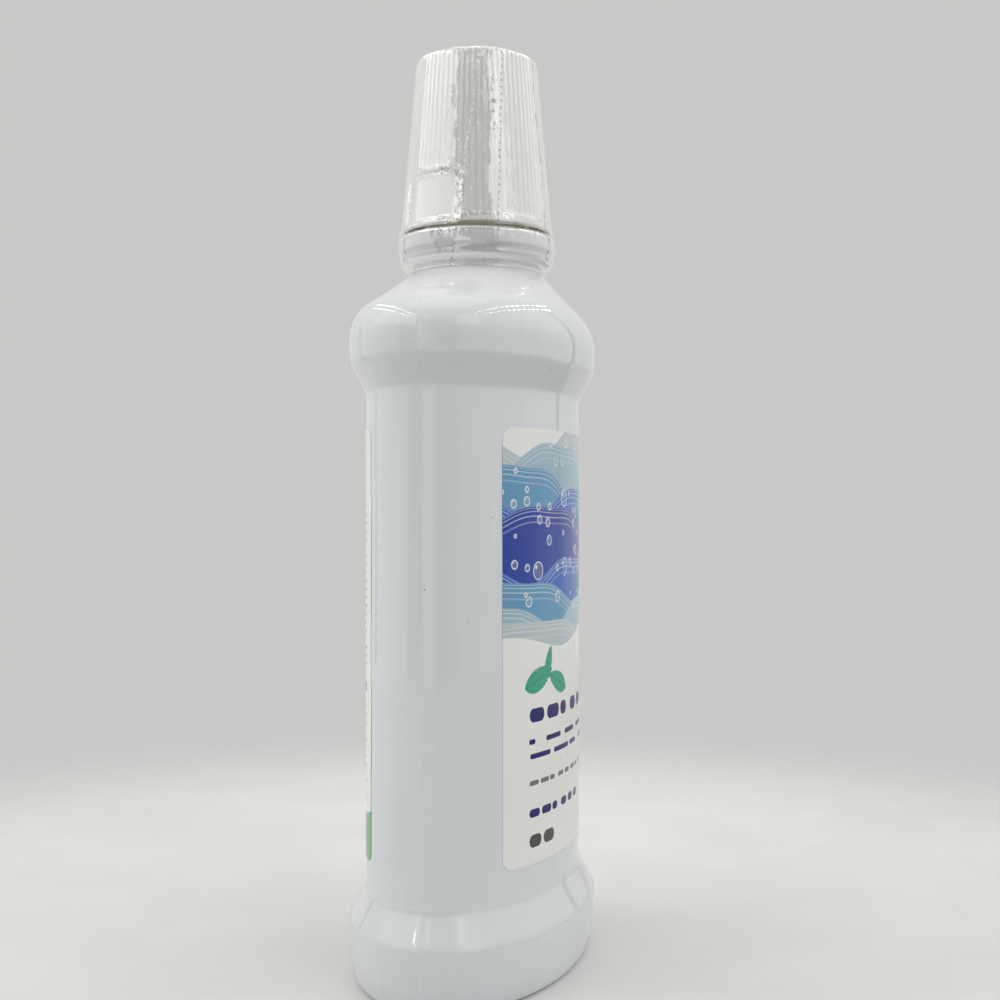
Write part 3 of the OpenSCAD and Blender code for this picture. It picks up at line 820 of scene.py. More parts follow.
def film_piece(name, path, start_angle, end_angle, middle_columns, body, free_end):
    """A sheet along a path of running length, radius and height, between two angles that change along it.
    free_end is the row where the film ends freely: its edge there is wavy and stands off a little."""
    along, radius, height = path[:, 0:1], path[:, 1:2], path[:, 2:3]
    last = edge_columns[-1] / radius
    low, high = start_angle[:, None], end_angle[:, None]
    share = np.linspace(0, 1, middle_columns + 2)[1:-1]
    middle = low + last + (high - low - 2 * last) * share
    hole = np.sqrt(np.maximum(hole_r ** 2 - from_hole(along) ** 2, 0)) + cut_gap / 2
    drawn = edge_columns + hole * (1 - edge_columns / edge_columns[-1]) ** 2
    angle = np.concatenate([low + drawn / radius, middle, (high - drawn / radius)[:, ::-1]], axis=1)
    from_edge = np.minimum(angle - low, high - angle) * radius
    rim = hole_rim_h * np.exp(-((np.hypot(from_edge, from_hole(along)) - hole_r) / hole_rim_w) ** 2)
    free = np.maximum(1 - np.abs(along - along[free_end]) / free_edge_w, 0) ** 2
    wave = edge_wave_h * (random_heights(angle / (2 * np.pi), 0 * angle, 26, 1, 16) - 0.5) * free
    crumple = crumpling(angle, along, height)
    out = film_lift(angle, along, crumple) + rim + free_edge_lift * free + film_gap + film_t
    out = out - pad_sink(angle, height)
    slope = np.gradient(path[:, 1:3], path[:, 0], axis=0)
    slope /= np.linalg.norm(slope, axis=1, keepdims=True)
    ring_r = radius - slope[:, 1:2] * out + slope[:, 0:1] * wave
    ring_z = height + slope[:, 0:1] * out + slope[:, 1:2] * wave
    points = np.stack([ring_r * np.cos(angle), ring_r * np.sin(angle), ring_z], axis=-1)
    piece = make_piece(name, points.reshape(-1, 3), [grid_faces(*angle.shape, False)[:, ::-1]])
    marks = np.stack([from_edge, from_hole(along) + 0 * angle, crumple], axis=-1)
    attribute = piece.data.attributes.new("film_marks", "FLOAT_VECTOR", "POINT")
    attribute.data.foreach_set("vector", marks.astype(np.float32).ravel())
    solid = piece.modifiers.new("film thickness", "SOLIDIFY")
    solid.thickness = film_t * MM
    solid.offset = -1
    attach(piece, body)
    return piece


def arc_rows(centre_r, centre_z, radius, degrees, reach):
    """Points of an arc as radius, height and the reach that softens them."""
    turn = np.radians(degrees)
    return np.column_stack([centre_r + radius * np.cos(turn), centre_z + radius * np.sin(turn),
                            np.full(len(turn), reach)])


def film_rows(corners):
    """A softened path as rows of running length, radius and height, close together at the holes."""
    fine = soften(np.array(corners, float), shape_columns=2)
    length = running_length(fine[:, :2])
    marks = notched_marks(length[-1])
    return np.column_stack([marks, at_length(fine, length, marks)[:, :2]])


# %% The film over the cap
crest_top_r = cap_top_r + rib_h
top_round = arc_rows(crest_top_r - cap_round, z_cap_top - cap_round, cap_round, np.linspace(90, 0, 8), 0.15)
sleeve_rows = film_rows(np.concatenate([
    [[cap_top_r - film_lap, z_cap_top, 0.2]], top_round,
    [[cap_core_r(z_cap + rim_h) + rib_h, z_cap + rim_h, 1.2], [collar_r, z_collar_top + 0.5, 0.3]]]))
sleeve_start = strip_edge(sleeve_rows[:, 1], sleeve_rows[:, 2], 1)
sleeve_end = strip_edge(sleeve_rows[:, 1], sleeve_rows[:, 2], -1) + 2 * np.pi
film_sleeve = film_piece("film_sleeve", sleeve_rows, sleeve_start, sleeve_end, 256, "cap", 0)
tear_strip = film_piece("film_tear_strip", sleeve_rows, sleeve_end - 2 * np.pi, sleeve_start, 18, "cap", 0)
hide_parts("sleeve")
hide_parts("tear_strip")

# %% The film round the collar and on the neck
bead_round = arc_rows(bead_centre_r, z_bead, bead_r, np.linspace(20, -90, 12), 0.2)
skirt_rows = film_rows(np.concatenate([
    [[collar_r - 0.4, z_collar_top + 0.05, 0.2], [collar_r, z_collar_top - 0.4, 0.3],
     [*band_start, 0.7], [*band_foot, 0.7]],
    bead_round,
    [[neck_r, z_collar - 0.1, 0.4], [neck_r + 0.1, z_neck + 0.25, 0.4], [neck_r + 0.6, z_neck - 0.35, 0.3]]]))
skirt_start = strip_edge(skirt_rows[:, 1], skirt_rows[:, 2], 1)
skirt_end = strip_edge(skirt_rows[:, 1], skirt_rows[:, 2], -1) + 2 * np.pi
film_skirt = film_piece("film_skirt", skirt_rows, skirt_start, skirt_end, 256, "bottle", -1)
strip_tail = film_piece("film_strip_tail", skirt_rows, skirt_end - 2 * np.pi, skirt_start, 26, "bottle", -1)
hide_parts("sleeve_skirt")
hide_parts("tear_strip_tail")

# %% [markdown]
# ## Formulas in shader nodes
#
# A pattern is a formula over the surface, and in Blender a formula is a chain of Math nodes. To write such
# a chain as plain arithmetic, a small class wraps a node's output: adding two of them makes the Add node
# and its links. Patterns that several finishes use are shader node groups, made once.

# %% A field: a node output that can be used in a sum
def feed(tree, slot, value):
    """Links a field to a socket, or sets the socket to a plain value."""
    if isinstance(value, Field):
        tree.links.new(value.socket, slot)
    else:
        slot.default_value = value


def make_node(tree, kind, inputs=(), **settings):
    """A node with its settings, and with its inputs fed by name or in order."""
    node = tree.nodes.new(kind)
    for name, value in settings.items():
        setattr(node, name, value)
    for key, value in inputs.items() if isinstance(inputs, dict) else enumerate(inputs):
        feed(tree, node.inputs[key], value)
    return node


class Field:
    """A value that changes over the surface. Arithmetic on it makes the Math nodes that work it out."""

    def __init__(self, tree, socket):
        self.tree = tree
        self.socket = socket

    def math(self, operation, *others):
        """One Math node with this field as its first value."""
        node = make_node(self.tree, "ShaderNodeMath", [self, *others], operation=operation)
        return Field(self.tree, node.outputs[0])

    def __add__(self, other):
        return self.math("ADD", other)

    def __sub__(self, other):
        return self.math("SUBTRACT", other)

    def __rsub__(self, other):
        return self.math("MULTIPLY_ADD", -1.0, other)

    def __mul__(self, other):
        return self.math("MULTIPLY", other)

    def __truediv__(self, other):
        return self.math("DIVIDE", other)

    def __pow__(self, other):
        return self.math("POWER", other)

    def __abs__(self):
        return self.math("ABSOLUTE")

    __radd__ = __add__
    __rmul__ = __mul__


def rise(value, low, high):
    """A smooth step of a field from 0 at low to 1 at high. With low above high it falls instead."""
    node = make_node(value.tree, "ShaderNodeMapRange", [value, low, high], interpolation_type="SMOOTHSTEP")
    return Field(value.tree, node.outputs[0])


def length_of(x, y):
    """Length of a vector with two fields as its parts."""
    return (x * x + y * y).math("SQRT")


def parts_of(vector):
    """The three parts of a vector field."""
    node = make_node(vector.tree, "ShaderNodeSeparateXYZ", [vector])
    return [Field(vector.tree, socket) for socket in node.outputs]


def vector_of(x, y, z):
    """A vector field from three fields or numbers."""
    tree = next(part.tree for part in (x, y, z) if isinstance(part, Field))
    return Field(tree, make_node(tree, "ShaderNodeCombineXYZ", [x, y, z]).outputs[0])


def stretched(vector, *sizes):
    """A place divided by a size in millimetres along each axis."""
    factors = [1 / size for size in sizes]
    node = make_node(vector.tree, "ShaderNodeVectorMath", [vector, factors], operation="MULTIPLY")
    return Field(vector.tree, node.outputs[0])


def in_cells(place, size):
    """A place counted in cells of one size, which may be a field itself."""
    node = make_node(place.tree, "ShaderNodeVectorMath", [place, size], operation="DIVIDE")
    return Field(place.tree, node.outputs[0])


def noise(vector, *sizes, detail=2.0, roughness=0.5):
    """Noise from about 0.2 to 0.8, with cells of the given sizes in millimetres."""
    node = make_node(vector.tree, "ShaderNodeTexNoise", {"Vector": stretched(vector, *sizes), "Scale": 1.0,
                                                         "Detail": detail, "Roughness": roughness})
    return Field(vector.tree, node.outputs[0])


def voronoi(scaled, **settings):
    """A Voronoi texture whose cells are one unit of the place wide, as its outputs by name."""
    node = make_node(scaled.tree, "ShaderNodeTexVoronoi", {"Vector": scaled, "Scale": 1.0}, **settings)
    return {socket.name: Field(scaled.tree, socket) for socket in node.outputs}


def attribute_place(tree, name):
    """The three parts of a vector that the mesh holds on its points."""
    node = make_node(tree, "ShaderNodeAttribute", attribute_name=name)
    return parts_of(Field(tree, node.outputs["Vector"]))


def painted(share, below, above):
    """The colour above laid over the colour below by a share from 0 to 1."""
    node = make_node(share.tree, "ShaderNodeMix", {0: share, 6: below, 7: above}, data_type="RGBA")
    return Field(share.tree, node.outputs[2])


# %% Shared groups
def shader_group(name, inputs, formula):
    """A node group. inputs gives each input's default: a number, a colour of four, or None for a place. The
    formula takes the inputs as fields and returns the outputs by name."""
    tree = bpy.data.node_groups.new(name, "ShaderNodeTree")
    kinds = {float: "NodeSocketFloat", tuple: "NodeSocketColor", type(None): "NodeSocketVector"}
    for label, value in inputs.items():
        socket = tree.interface.new_socket(label, in_out="INPUT", socket_type=kinds[type(value)])
        if value is not None:
            socket.default_value = value
    start = tree.nodes.new("NodeGroupInput")
    made = formula(*[Field(tree, start.outputs[label]) for label in inputs])
    for label in made:
        kind = "NodeSocketColor" if "Colour" in label else "NodeSocketFloat"
        tree.interface.new_socket(label, in_out="OUTPUT", socket_type=kind)
    end = tree.nodes.new("NodeGroupOutput")
    for label, field in made.items():
        feed(tree, end.inputs[label], field)
    return tree


def from_group(tree, group, inputs):
    """Places a group in a tree, feeds its inputs by name or in order and returns its outputs by name."""
    node = make_node(tree, "ShaderNodeGroup", inputs, node_tree=group)
    return {socket.name: Field(tree, socket) for socket in node.outputs}


# %% [markdown]
# ## Finishes that pieces share
#
# Moulded plastic is never one flat colour. The wall is thinner here and thicker there, so its tone drifts
# over centimetres. Flow leaves faint upright streaks, the skin has the slow ripple of an orange, and the
# mould's own texture makes it a little rougher in places. One group holds all of that, with sizes and
# colours as inputs. A second one gives the few specks of dust that static always holds on such a bottle.

# %% Moulded skin and dust
def moulded_skin(place, thick, thin, smooth, rough, ripple_size, grain_size):
    """Tone, roughness and height of a moulded surface, from noise at four sizes."""
    cloud = noise(place, 30, 30, 42)
    streak = noise(place, 2.4, 2.4, 60, detail=3.0)
    ripple = noise(in_cells(place, ripple_size), 1, 1, 1, detail=1.0)
    grain = noise(in_cells(place, grain_size), 1, 1, 1)
    tone = rise(0.6 * cloud + 0.4 * streak, 0.35, 0.65)
    shine = rise(0.5 * cloud + 0.5 * noise(place, 4, 4, 9), 0.3, 0.7)
    return {"Colour": painted(tone, thin, thick), "Roughness": smooth + (rough - smooth) * shine,
            "Height": ripple + 0.12 * grain}


skin_group = shader_group("moulded_skin", {
    "Place": None, "Thick colour": (1, 1, 1, 1), "Thin colour": (1, 1, 1, 1), "Smoothest": 0.1,
    "Roughest": 0.2, "Ripple size": 2.5, "Grain size": 0.3}, moulded_skin)


def fine_dust(place, cell, largest, share_of_cells):
    """Small round specks: near the middle of some cells of a Voronoi texture, each with its own radius."""
    cells = voronoi(in_cells(place, cell))
    distance = cells["Distance"] * cell
    kept, size, _ = parts_of(cells["Color"])
    radius = largest * (0.35 + 0.65 * size) * kept.math("LESS_THAN", share_of_cells)
    return {"Speck": rise(distance - radius, 0.03, -0.03)}


dust_group = shader_group("fine_dust", {
    "Place": None, "Cell": 4.5, "Largest": 0.2, "Share of cells": 0.5}, fine_dust)
# The dark of dust specks, which also paints the shade at the lip of each hole in the film.
dust_and_shade_colour = (0.2, 0.19, 0.17, 1)


# %% A material's start and end
def start_material(name):
    """A material with its shader, and the place on the piece in millimetres."""
    material = bpy.data.materials.new(name)
    material.use_nodes = True
    tree = material.node_tree
    shader = tree.nodes["Principled BSDF"]
    coordinates = tree.nodes.new("ShaderNodeTexCoord")
    place = stretched(Field(tree, coordinates.outputs["Object"]), MM, MM, MM)
    return material, tree, shader, place


def raise_skin(tree, shader, height, depth):
    """Bumps a shader by a height field, whose unit is depth in millimetres."""
    bump = make_node(tree, "ShaderNodeBump", {"Strength": 1.0, "Distance": depth * MM, "Height": height})
    feed(tree, shader.inputs["Normal"], Field(tree, bump.outputs[0]))
    return Field(tree, bump.outputs[0])


def moulded_plastic(name, thick, thin, smooth, rough, ripple_size, grain_size, depth, bands=()):
    """A finished moulded plastic: the skin group under a little dust. smooth and rough are the least and the
    most roughness, and depth is the height of the ripple. Each band is a lowest height, a highest height, the
    reach of its soft edges and a colour painted over the skin between them, which may be painted light or
    painted shade."""
    material, tree, shader, place = start_material(name)
    skin = from_group(tree, skin_group, {
        "Place": place, "Thick colour": (*thick, 1), "Thin colour": (*thin, 1), "Smoothest": smooth,
        "Roughest": rough, "Ripple size": ripple_size, "Grain size": grain_size})
    dust = from_group(tree, dust_group, {"Place": place})["Speck"]
    tone = skin["Colour"]
    _, _, height = parts_of(place)
    # Each band paints its colour between two heights, and painted light and shade are among them.
    for low, high, soft, colour in bands:
        tone = painted(rise(height, low - soft, low) * rise(height, high + soft, high), tone, colour)
    feed(tree, shader.inputs["Base Color"], painted(dust, tone, dust_and_shade_colour))
    feed(tree, shader.inputs["Roughness"], skin["Roughness"] + 0.5 * dust)
    raise_skin(tree, shader, skin["Height"], depth)
    return material


def blend_shaders(tree, share, below, above, end):
    """Sends two shaders to a tree's end node, where the one above has the given share."""
    mixed = make_node(tree, "ShaderNodeMixShader", [share])
    tree.links.new(below.outputs[0], mixed.inputs[1])
    tree.links.new(above.outputs[0], mixed.inputs[2])
    tree.links.new(mixed.outputs[0], tree.nodes[end].inputs["Surface"])


def dress(piece, material):
    """Gives a piece one material all over."""
    piece.data.materials.clear()
    piece.data.materials.append(material)


# Bands of colour by height: a greyer tone from high on the shoulder to the collar's top; painted shade on the
# slope above the foot, which faces up; a painted lighter neck under the bead, for the light that comes
# through the thin wall; painted shade on the bead; and painted warm light above the collar, for the light
# through the cap that fills the gap.
bottle_tone_and_light_bands = [
    (z_wide + 9, z_collar_top, 0.3, (0.80, 0.812, 0.81, 1)),
    (foot_h + 0.3, z_panel - 0.1, 1.0, (0.71, 0.73, 0.745, 1)),
    (z_neck, z_bead - 0.8, 0.3, (0.95, 0.955, 0.95, 1)),
    (z_bead - 0.4, z_band + 0.3, 0.3, (0.62, 0.635, 0.64, 1)),
    (z_collar_top, z_mouth, 0.3, (0.80, 0.775, 0.68, 1)),
]
bottle_plastic = moulded_plastic(
    "bottle_plastic", thick=(0.80, 0.822, 0.838), thin=(0.77, 0.796, 0.816), smooth=0.008, rough=0.025,
    ripple_size=3.0, grain_size=0.25, depth=0.006, bands=bottle_tone_and_light_bands)
cap_plastic = moulded_plastic(
    "cap_plastic", thick=(0.92, 0.905, 0.87), thin=(0.895, 0.88, 0.845), smooth=0.30, rough=0.42,
    ripple_size=1.6, grain_size=0.14, depth=0.010)
cup_plastic = moulded_plastic(
    "cup_plastic", thick=(0.84, 0.84, 0.82), thin=(0.80, 0.80, 0.785), smooth=0.34, rough=0.46,
    ripple_size=1.4, grain_size=0.12, depth=0.008)
seal_foam = moulded_plastic(
    "seal_foam", thick=(0.74, 0.76, 0.78), thin=(0.66, 0.69, 0.71), smooth=0.65, rough=0.85,
    ripple_size=0.35, grain_size=0.08, depth=0.03)
dress(bottle_shell, bottle_plastic)
dress(lock_stops, bottle_plastic)
dress(ribbed_cap, cap_plastic)
dress(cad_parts["inner_cup"], cup_plastic)
dress(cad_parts["seal_ring"], seal_foam)

# %% [markdown]
# ## The printed labels
#
# The labels are white film with printing inks and a satin varnish. The design is a plain one of this
# bottle's own: swelling bands of water in blues with bubbles rising through them, a sprig of mint, and rows
# of short bars where a maker would set words. Each motif is a small group over the sheet's across and up in
# millimetres. They are painted one over another like spot inks, so each keeps a crisp edge.

# %% Motifs of the print
ink_edge = 0.06


def wave_over(across, up, level, swing, length, start):
    """1 below a swelling line: level + swing * (sine + a third of the sine at twice the speed). Lines are
    hairlines that follow it below, closer together with depth, and fade out."""
    turn = (across / length + start) * (2 * np.pi)
    line = level + swing * (turn.math("SINE") + 0.33 * (turn * 2 + 1.3).math("SINE"))
    mask = rise(up - line, ink_edge, -ink_edge)
    depth = (line - up).math("MAXIMUM", 0.0)
    step = depth.math("SQRT") * 2.4
    hairline = rise(abs(step.math("FRACT") - 0.5), 0.17, 0.09)
    return {"Mask": mask, "Lines": mask * hairline * rise(depth, 5.5, 1.5)}


def bubbles(across, up, cell, share_of_cells):
    """Rings, bodies and small glints of bubbles, one in some cells of a Voronoi texture."""
    place = vector_of(across / cell, up / cell, 0.0)
    cells = voronoi(place, voronoi_dimensions="2D")
    kept, size, _ = parts_of(cells["Color"])
    centre_x, centre_y, _ = parts_of(cells["Position"])
    side = across - centre_x * cell
    above = up - centre_y * cell
    radius = cell * (0.10 + 0.20 * size) * kept.math("LESS_THAN", share_of_cells)
    distance = length_of(side, above)
    body = rise(distance - radius, ink_edge, -ink_edge)
    ring = body * rise(distance - radius, -0.5, -0.1)
    from_glint = length_of(side + 0.4 * radius, above - 0.4 * radius)
    glint = rise(from_glint - 0.22 * radius, ink_edge, -ink_edge) * body
    return {"Body": body, "Line": ring.math("MAXIMUM", glint)}


def mint_leaf(across, up, middle, level, turn, half_length, half_width):
    """A toothed leaf and its veins. Its half width is a power of one less the square of its share along."""
    cosine = turn.math("COSINE")
    sine = turn.math("SINE")
    along = ((across - middle) * cosine + (up - level) * sine) / half_length
    beside = abs((up - level) * cosine - (across - middle) * sine)
    teeth = ((along * 7 + beside * 0.8).math("FRACT") - 0.5) * 0.16
    width = half_width * ((1 - along * along).math("MAXIMUM", 0.0) ** 0.75) * (1 - 0.25 * along) * (1 + teeth)
    blade = rise(beside - width, ink_edge, -ink_edge) * rise(abs(along), 1.0, 0.97)
    rib = rise(beside, 0.20, 0.08)
    side_rib = rise(abs((along * 4.5 - beside * 0.55).math("FRACT") - 0.5), 0.42, 0.47)
    return {"Blade": blade, "Vein": blade * rib.math("MAXIMUM", side_rib)}


def word_bars(across, up, left, right, base, top, pitch, height_share, word):
    """Rows of short bars with round ends and of uneven length, between two sides and two levels, in place of
    words. A bar that would pass a side is shortened to it."""
    row = ((up - base) / pitch).math("FLOOR")
    in_row = (up - base) / pitch - row
    shift = row * 0.37
    cell = ((across - left) / word + shift).math("FLOOR")
    chance = make_node(across.tree, "ShaderNodeTexWhiteNoise", {"Vector": vector_of(cell, row, 0.0)},
                       noise_dimensions="2D")
    start = left + (cell - shift + 0.04) * word
    end = start + word * (0.5 + 0.38 * Field(across.tree, chance.outputs["Value"]))
    start = start.math("MAXIMUM", left)
    end = end.math("MINIMUM", right)
    radius = 0.5 * height_share * pitch
    beside = abs(across - 0.5 * (start + end)) - 0.5 * (end - start) + radius
    above = (in_row - 0.5 * height_share) * pitch - ink_edge
    bar = rise(length_of(beside.math("MAXIMUM", 0.0), above) - radius, ink_edge, -ink_edge)
    long_enough = (end - start - 2 * radius).math("GREATER_THAN", 0.0)
    levels = rise(up - base, -ink_edge, ink_edge) * rise(up - top, ink_edge, -ink_edge)
    return {"Mask": bar * long_enough * levels}


sheet_inputs = {"Across": 0.0, "Up": 0.0}
wave_group = shader_group("wave_over", {
    **sheet_inputs, "Level": 50.0, "Swing": 3.0, "Length": 40.0, "Start": 0.0}, wave_over)
bubble_group = shader_group("bubbles", {**sheet_inputs, "Cell": 6.0, "Share of cells": 0.6}, bubbles)
leaf_group = shader_group("mint_leaf", {
    **sheet_inputs, "Middle": 0.0, "Level": 0.0, "Turn": 0.0, "Half length": 8.0,
    "Half width": 3.0}, mint_leaf)
bars_group = shader_group("word_bars", {
    **sheet_inputs, "Left": -20.0, "Right": 20.0, "Base": 10.0, "Top": 12.0, "Pitch": 3.0,
    "Height share": 0.5, "Word": 6.0}, word_bars)

# %% Inks of the print
film_white = (0.92, 0.918, 0.885, 1)
deep_blue = (0.0, 0.035, 0.36, 1)
sea_blue = (0.010, 0.13, 0.55, 1)
sky_blue = (0.12, 0.34, 0.56, 1)
pale_blue = (0.36, 0.52, 0.62, 1)
mist_blue = (0.52, 0.60, 0.64, 1)
mint_green = (0.045, 0.42, 0.27, 1)
deep_mint = (0.02, 0.25, 0.17, 1)
leaf_green = (0.12, 0.40, 0.14, 1)
navy = (0.006, 0.008, 0.15, 1)
soft_grey = (0.20, 0.20, 0.20, 1)
dark_grey = (0.07, 0.07, 0.07, 1)


def printed_film(name, design):
    """A satin varnished film with a design: a function from the sheet's across and up to the colour of the
    print and the share that is inked."""
    material, tree, shader, place = start_material(name)
    across, up, _ = attribute_place(tree, "sheet_place")
    print_colour, ink = design(across, up)
    skin = from_group(tree, skin_group, {
        "Place": place, "Thick colour": (1, 1, 1, 1), "Thin colour": (0.995, 0.995, 0.993, 1),
        "Smoothest": 0.27, "Roughest": 0.31, "Ripple size": 3.5, "Grain size": 0.12})
    toned = make_node(tree, "ShaderNodeMix", {0: 1.0, 6: print_colour, 7: skin["Colour"]},
                      data_type="RGBA", blend_type="MULTIPLY")
    dust = from_group(tree, dust_group, {"Place": place, "Largest": 0.14})["Speck"]
    feed(tree, shader.inputs["Base Color"], painted(dust, Field(tree, toned.outputs[2]), dust_and_shade_colour))
    feed(tree, shader.inputs["Roughness"], skin["Roughness"] - 0.06 * ink + 0.4 * dust)
    raise_skin(tree, shader, skin["Height"] + 0.5 * ink, 0.003)
    return material


def print_masks(colour, ink, across, up, group, motifs):
    """Prints motifs of one group over a colour and an inked share. Each is an ink and the group's sizes."""
    for tone, *sizes in motifs:
        mask = from_group(across.tree, group, [across, up, *sizes])["Mask"]
        colour = painted(mask, colour, tone)
        ink = ink.math("MAXIMUM", mask)
    return colour, ink


def front_design(across, up):
    """Water bands with bubbles in them, a sprig of mint below, and bars for words."""
    ink = across * 0
    colour = painted(ink, film_white, film_white)
    # Ink, level, swing, length and start of each wave
    waves = [(mist_blue, 97, 4.5, 74, 0.10), (pale_blue, 92, 4.0, 61, 0.42), (sky_blue, 87, 3.6, 52, 0.80),
             (sea_blue, 82.5, 3.0, 66, 0.15), (deep_blue, 78.5, 2.6, 57, 0.55),
             (sea_blue, 66.5, 2.6, 48, 0.30), (sky_blue, 61.5, 2.8, 58, 0.75),
             (pale_blue, 56.5, 2.6, 50, 0.05), (mist_blue, 53, 2.2, 64, 0.60),
             (film_white, 50.5, 1.8, 70, 0.90)]
    for tone, *sizes in waves:
        wave = from_group(across.tree, wave_group, [across, up, *sizes])
        mask = wave["Mask"]
        colour = painted(0.45 * wave["Lines"], painted(mask, colour, tone), film_white)
        ink = ink.math("MAXIMUM", mask) if tone != film_white else ink * (1 - mask)
    for cell, share, low, high in ((8.5, 0.5, 62, 95), (4.6, 0.42, 54, 90)):
        found = from_group(across.tree, bubble_group, [across, up, cell, share])
        zone = rise(up, low, low + 3) * rise(up, high + 3, high)
        colour = painted(0.22 * found["Body"] * zone, colour, mist_blue)
        colour = painted(0.85 * found["Line"] * zone, colour, film_white)
    # Middle, level, turn, half length and half width of each leaf
    leaves = [(-21.5, 41.5, 0.30, 6.2, 2.6), (-12.0, 40.0, 2.75, 5.6, 2.3), (-17.2, 45.2, 1.25, 3.6, 1.6)]
    for sizes in leaves:
        leaf = from_group(across.tree, leaf_group, [across, up, *sizes])
        colour = painted(leaf["Blade"], colour, mint_green)
        colour = painted(0.8 * leaf["Vein"], colour, deep_mint)
        ink = ink.math("MAXIMUM", leaf["Blade"])
    # Ink, left, right, base, top, pitch, height share and word of each block of bars
    return print_masks(colour, ink, across, up, bars_group, [
        (navy, -26, 26, 31.8, 35.0, 4.0, 0.8, 7.5), (navy, -26, 24, 23.6, 30.0, 3.3, 0.36, 11.0),
        (soft_grey, -26, 26, 17.6, 20.0, 2.6, 0.42, 4.6), (navy, -26, 4, 10.4, 12.4, 2.6, 0.72, 5.2),
        (dark_grey, -26, -12, 3.6, 6.6, 4.0, 0.72, 6.0)])


def back_design(across, up):
    """Many small grey rows, one row of blue bars at the top, and a green foot with a wave as its edge."""
    ink = across * 0
    colour = painted(ink, film_white, film_white)
    colour, ink = print_masks(colour, ink, across, up, bars_group, [
        (navy, -29, 29, 86, 90, 5.0, 0.6, 8.0), (soft_grey, -29, 29, 44, 82, 1.9, 0.42, 3.4),
        (navy, -29, 29, 38, 41, 3.6, 0.6, 6.0), (soft_grey, -29, 29, 17, 36, 1.9, 0.42, 3.1)])
    return print_masks(colour, ink, across, up, wave_group, [
        (mint_green, 11.5, 1.4, 44, 0.2), (leaf_green, 9.5, 1.2, 52, 0.7)])


dress(front_sheet, printed_film("front_print", front_design))
dress(back_sheet, printed_film("back_print", back_design))

# %% [markdown]
# ## The clear film
#
# Clear film is seen by what it reflects. Its two faces and the glossy plastic close behind them each send
# back a share of the light, which grows at the sides by Fresnel's law, and let the rest through, so the
# material mixes a mirror with a transparent shader. The modelled creases bend the reflections in large.
# Flat facets break their edges into the flakes that shrunk film shows, and thin crease lines run through
# them.

# %% Clear shrink film
def tilted_facets(place, width, tallness):
    """Flat facets, each tilted its own way: the way from a Voronoi cell's point times the cell's own random
    slope. The height jumps a little from facet to facet, which draws the creases between them."""
    x, y, z = parts_of(place)
    scaled = vector_of(x / width, y / width, z / (width * tallness))
    cells = voronoi(scaled)
    chance = parts_of(cells["Color"])
    middle = parts_of(cells["Position"])
    slopes = [(c - 0.5) * (p - m) for c, p, m in zip(chance, parts_of(scaled), middle)]
    return {"Height": (slopes[0] + slopes[1] + slopes[2] * 1.6) * width}


def crease_lines(place, width, tallness):
    """Thin raised lines: the borders of Voronoi cells, bent by noise so that they wander."""
    x, y, z = parts_of(place)
    bend = 1.3 * noise(place, 1.7, 1.7, 3.5)
    scaled = vector_of(x / width + bend, y / width + bend, z / (width * tallness) + bend)
    borders = voronoi(scaled, feature="DISTANCE_TO_EDGE")
    return {"Height": rise(borders["Distance"], 0.13, 0.0)}


facet_inputs = {"Place": None, "Width": 1.0, "Tallness": 2.0}
facet_group = shader_group("tilted_facets", facet_inputs, tilted_facets)
crease_group = shader_group("crease_lines", facet_inputs, crease_lines)


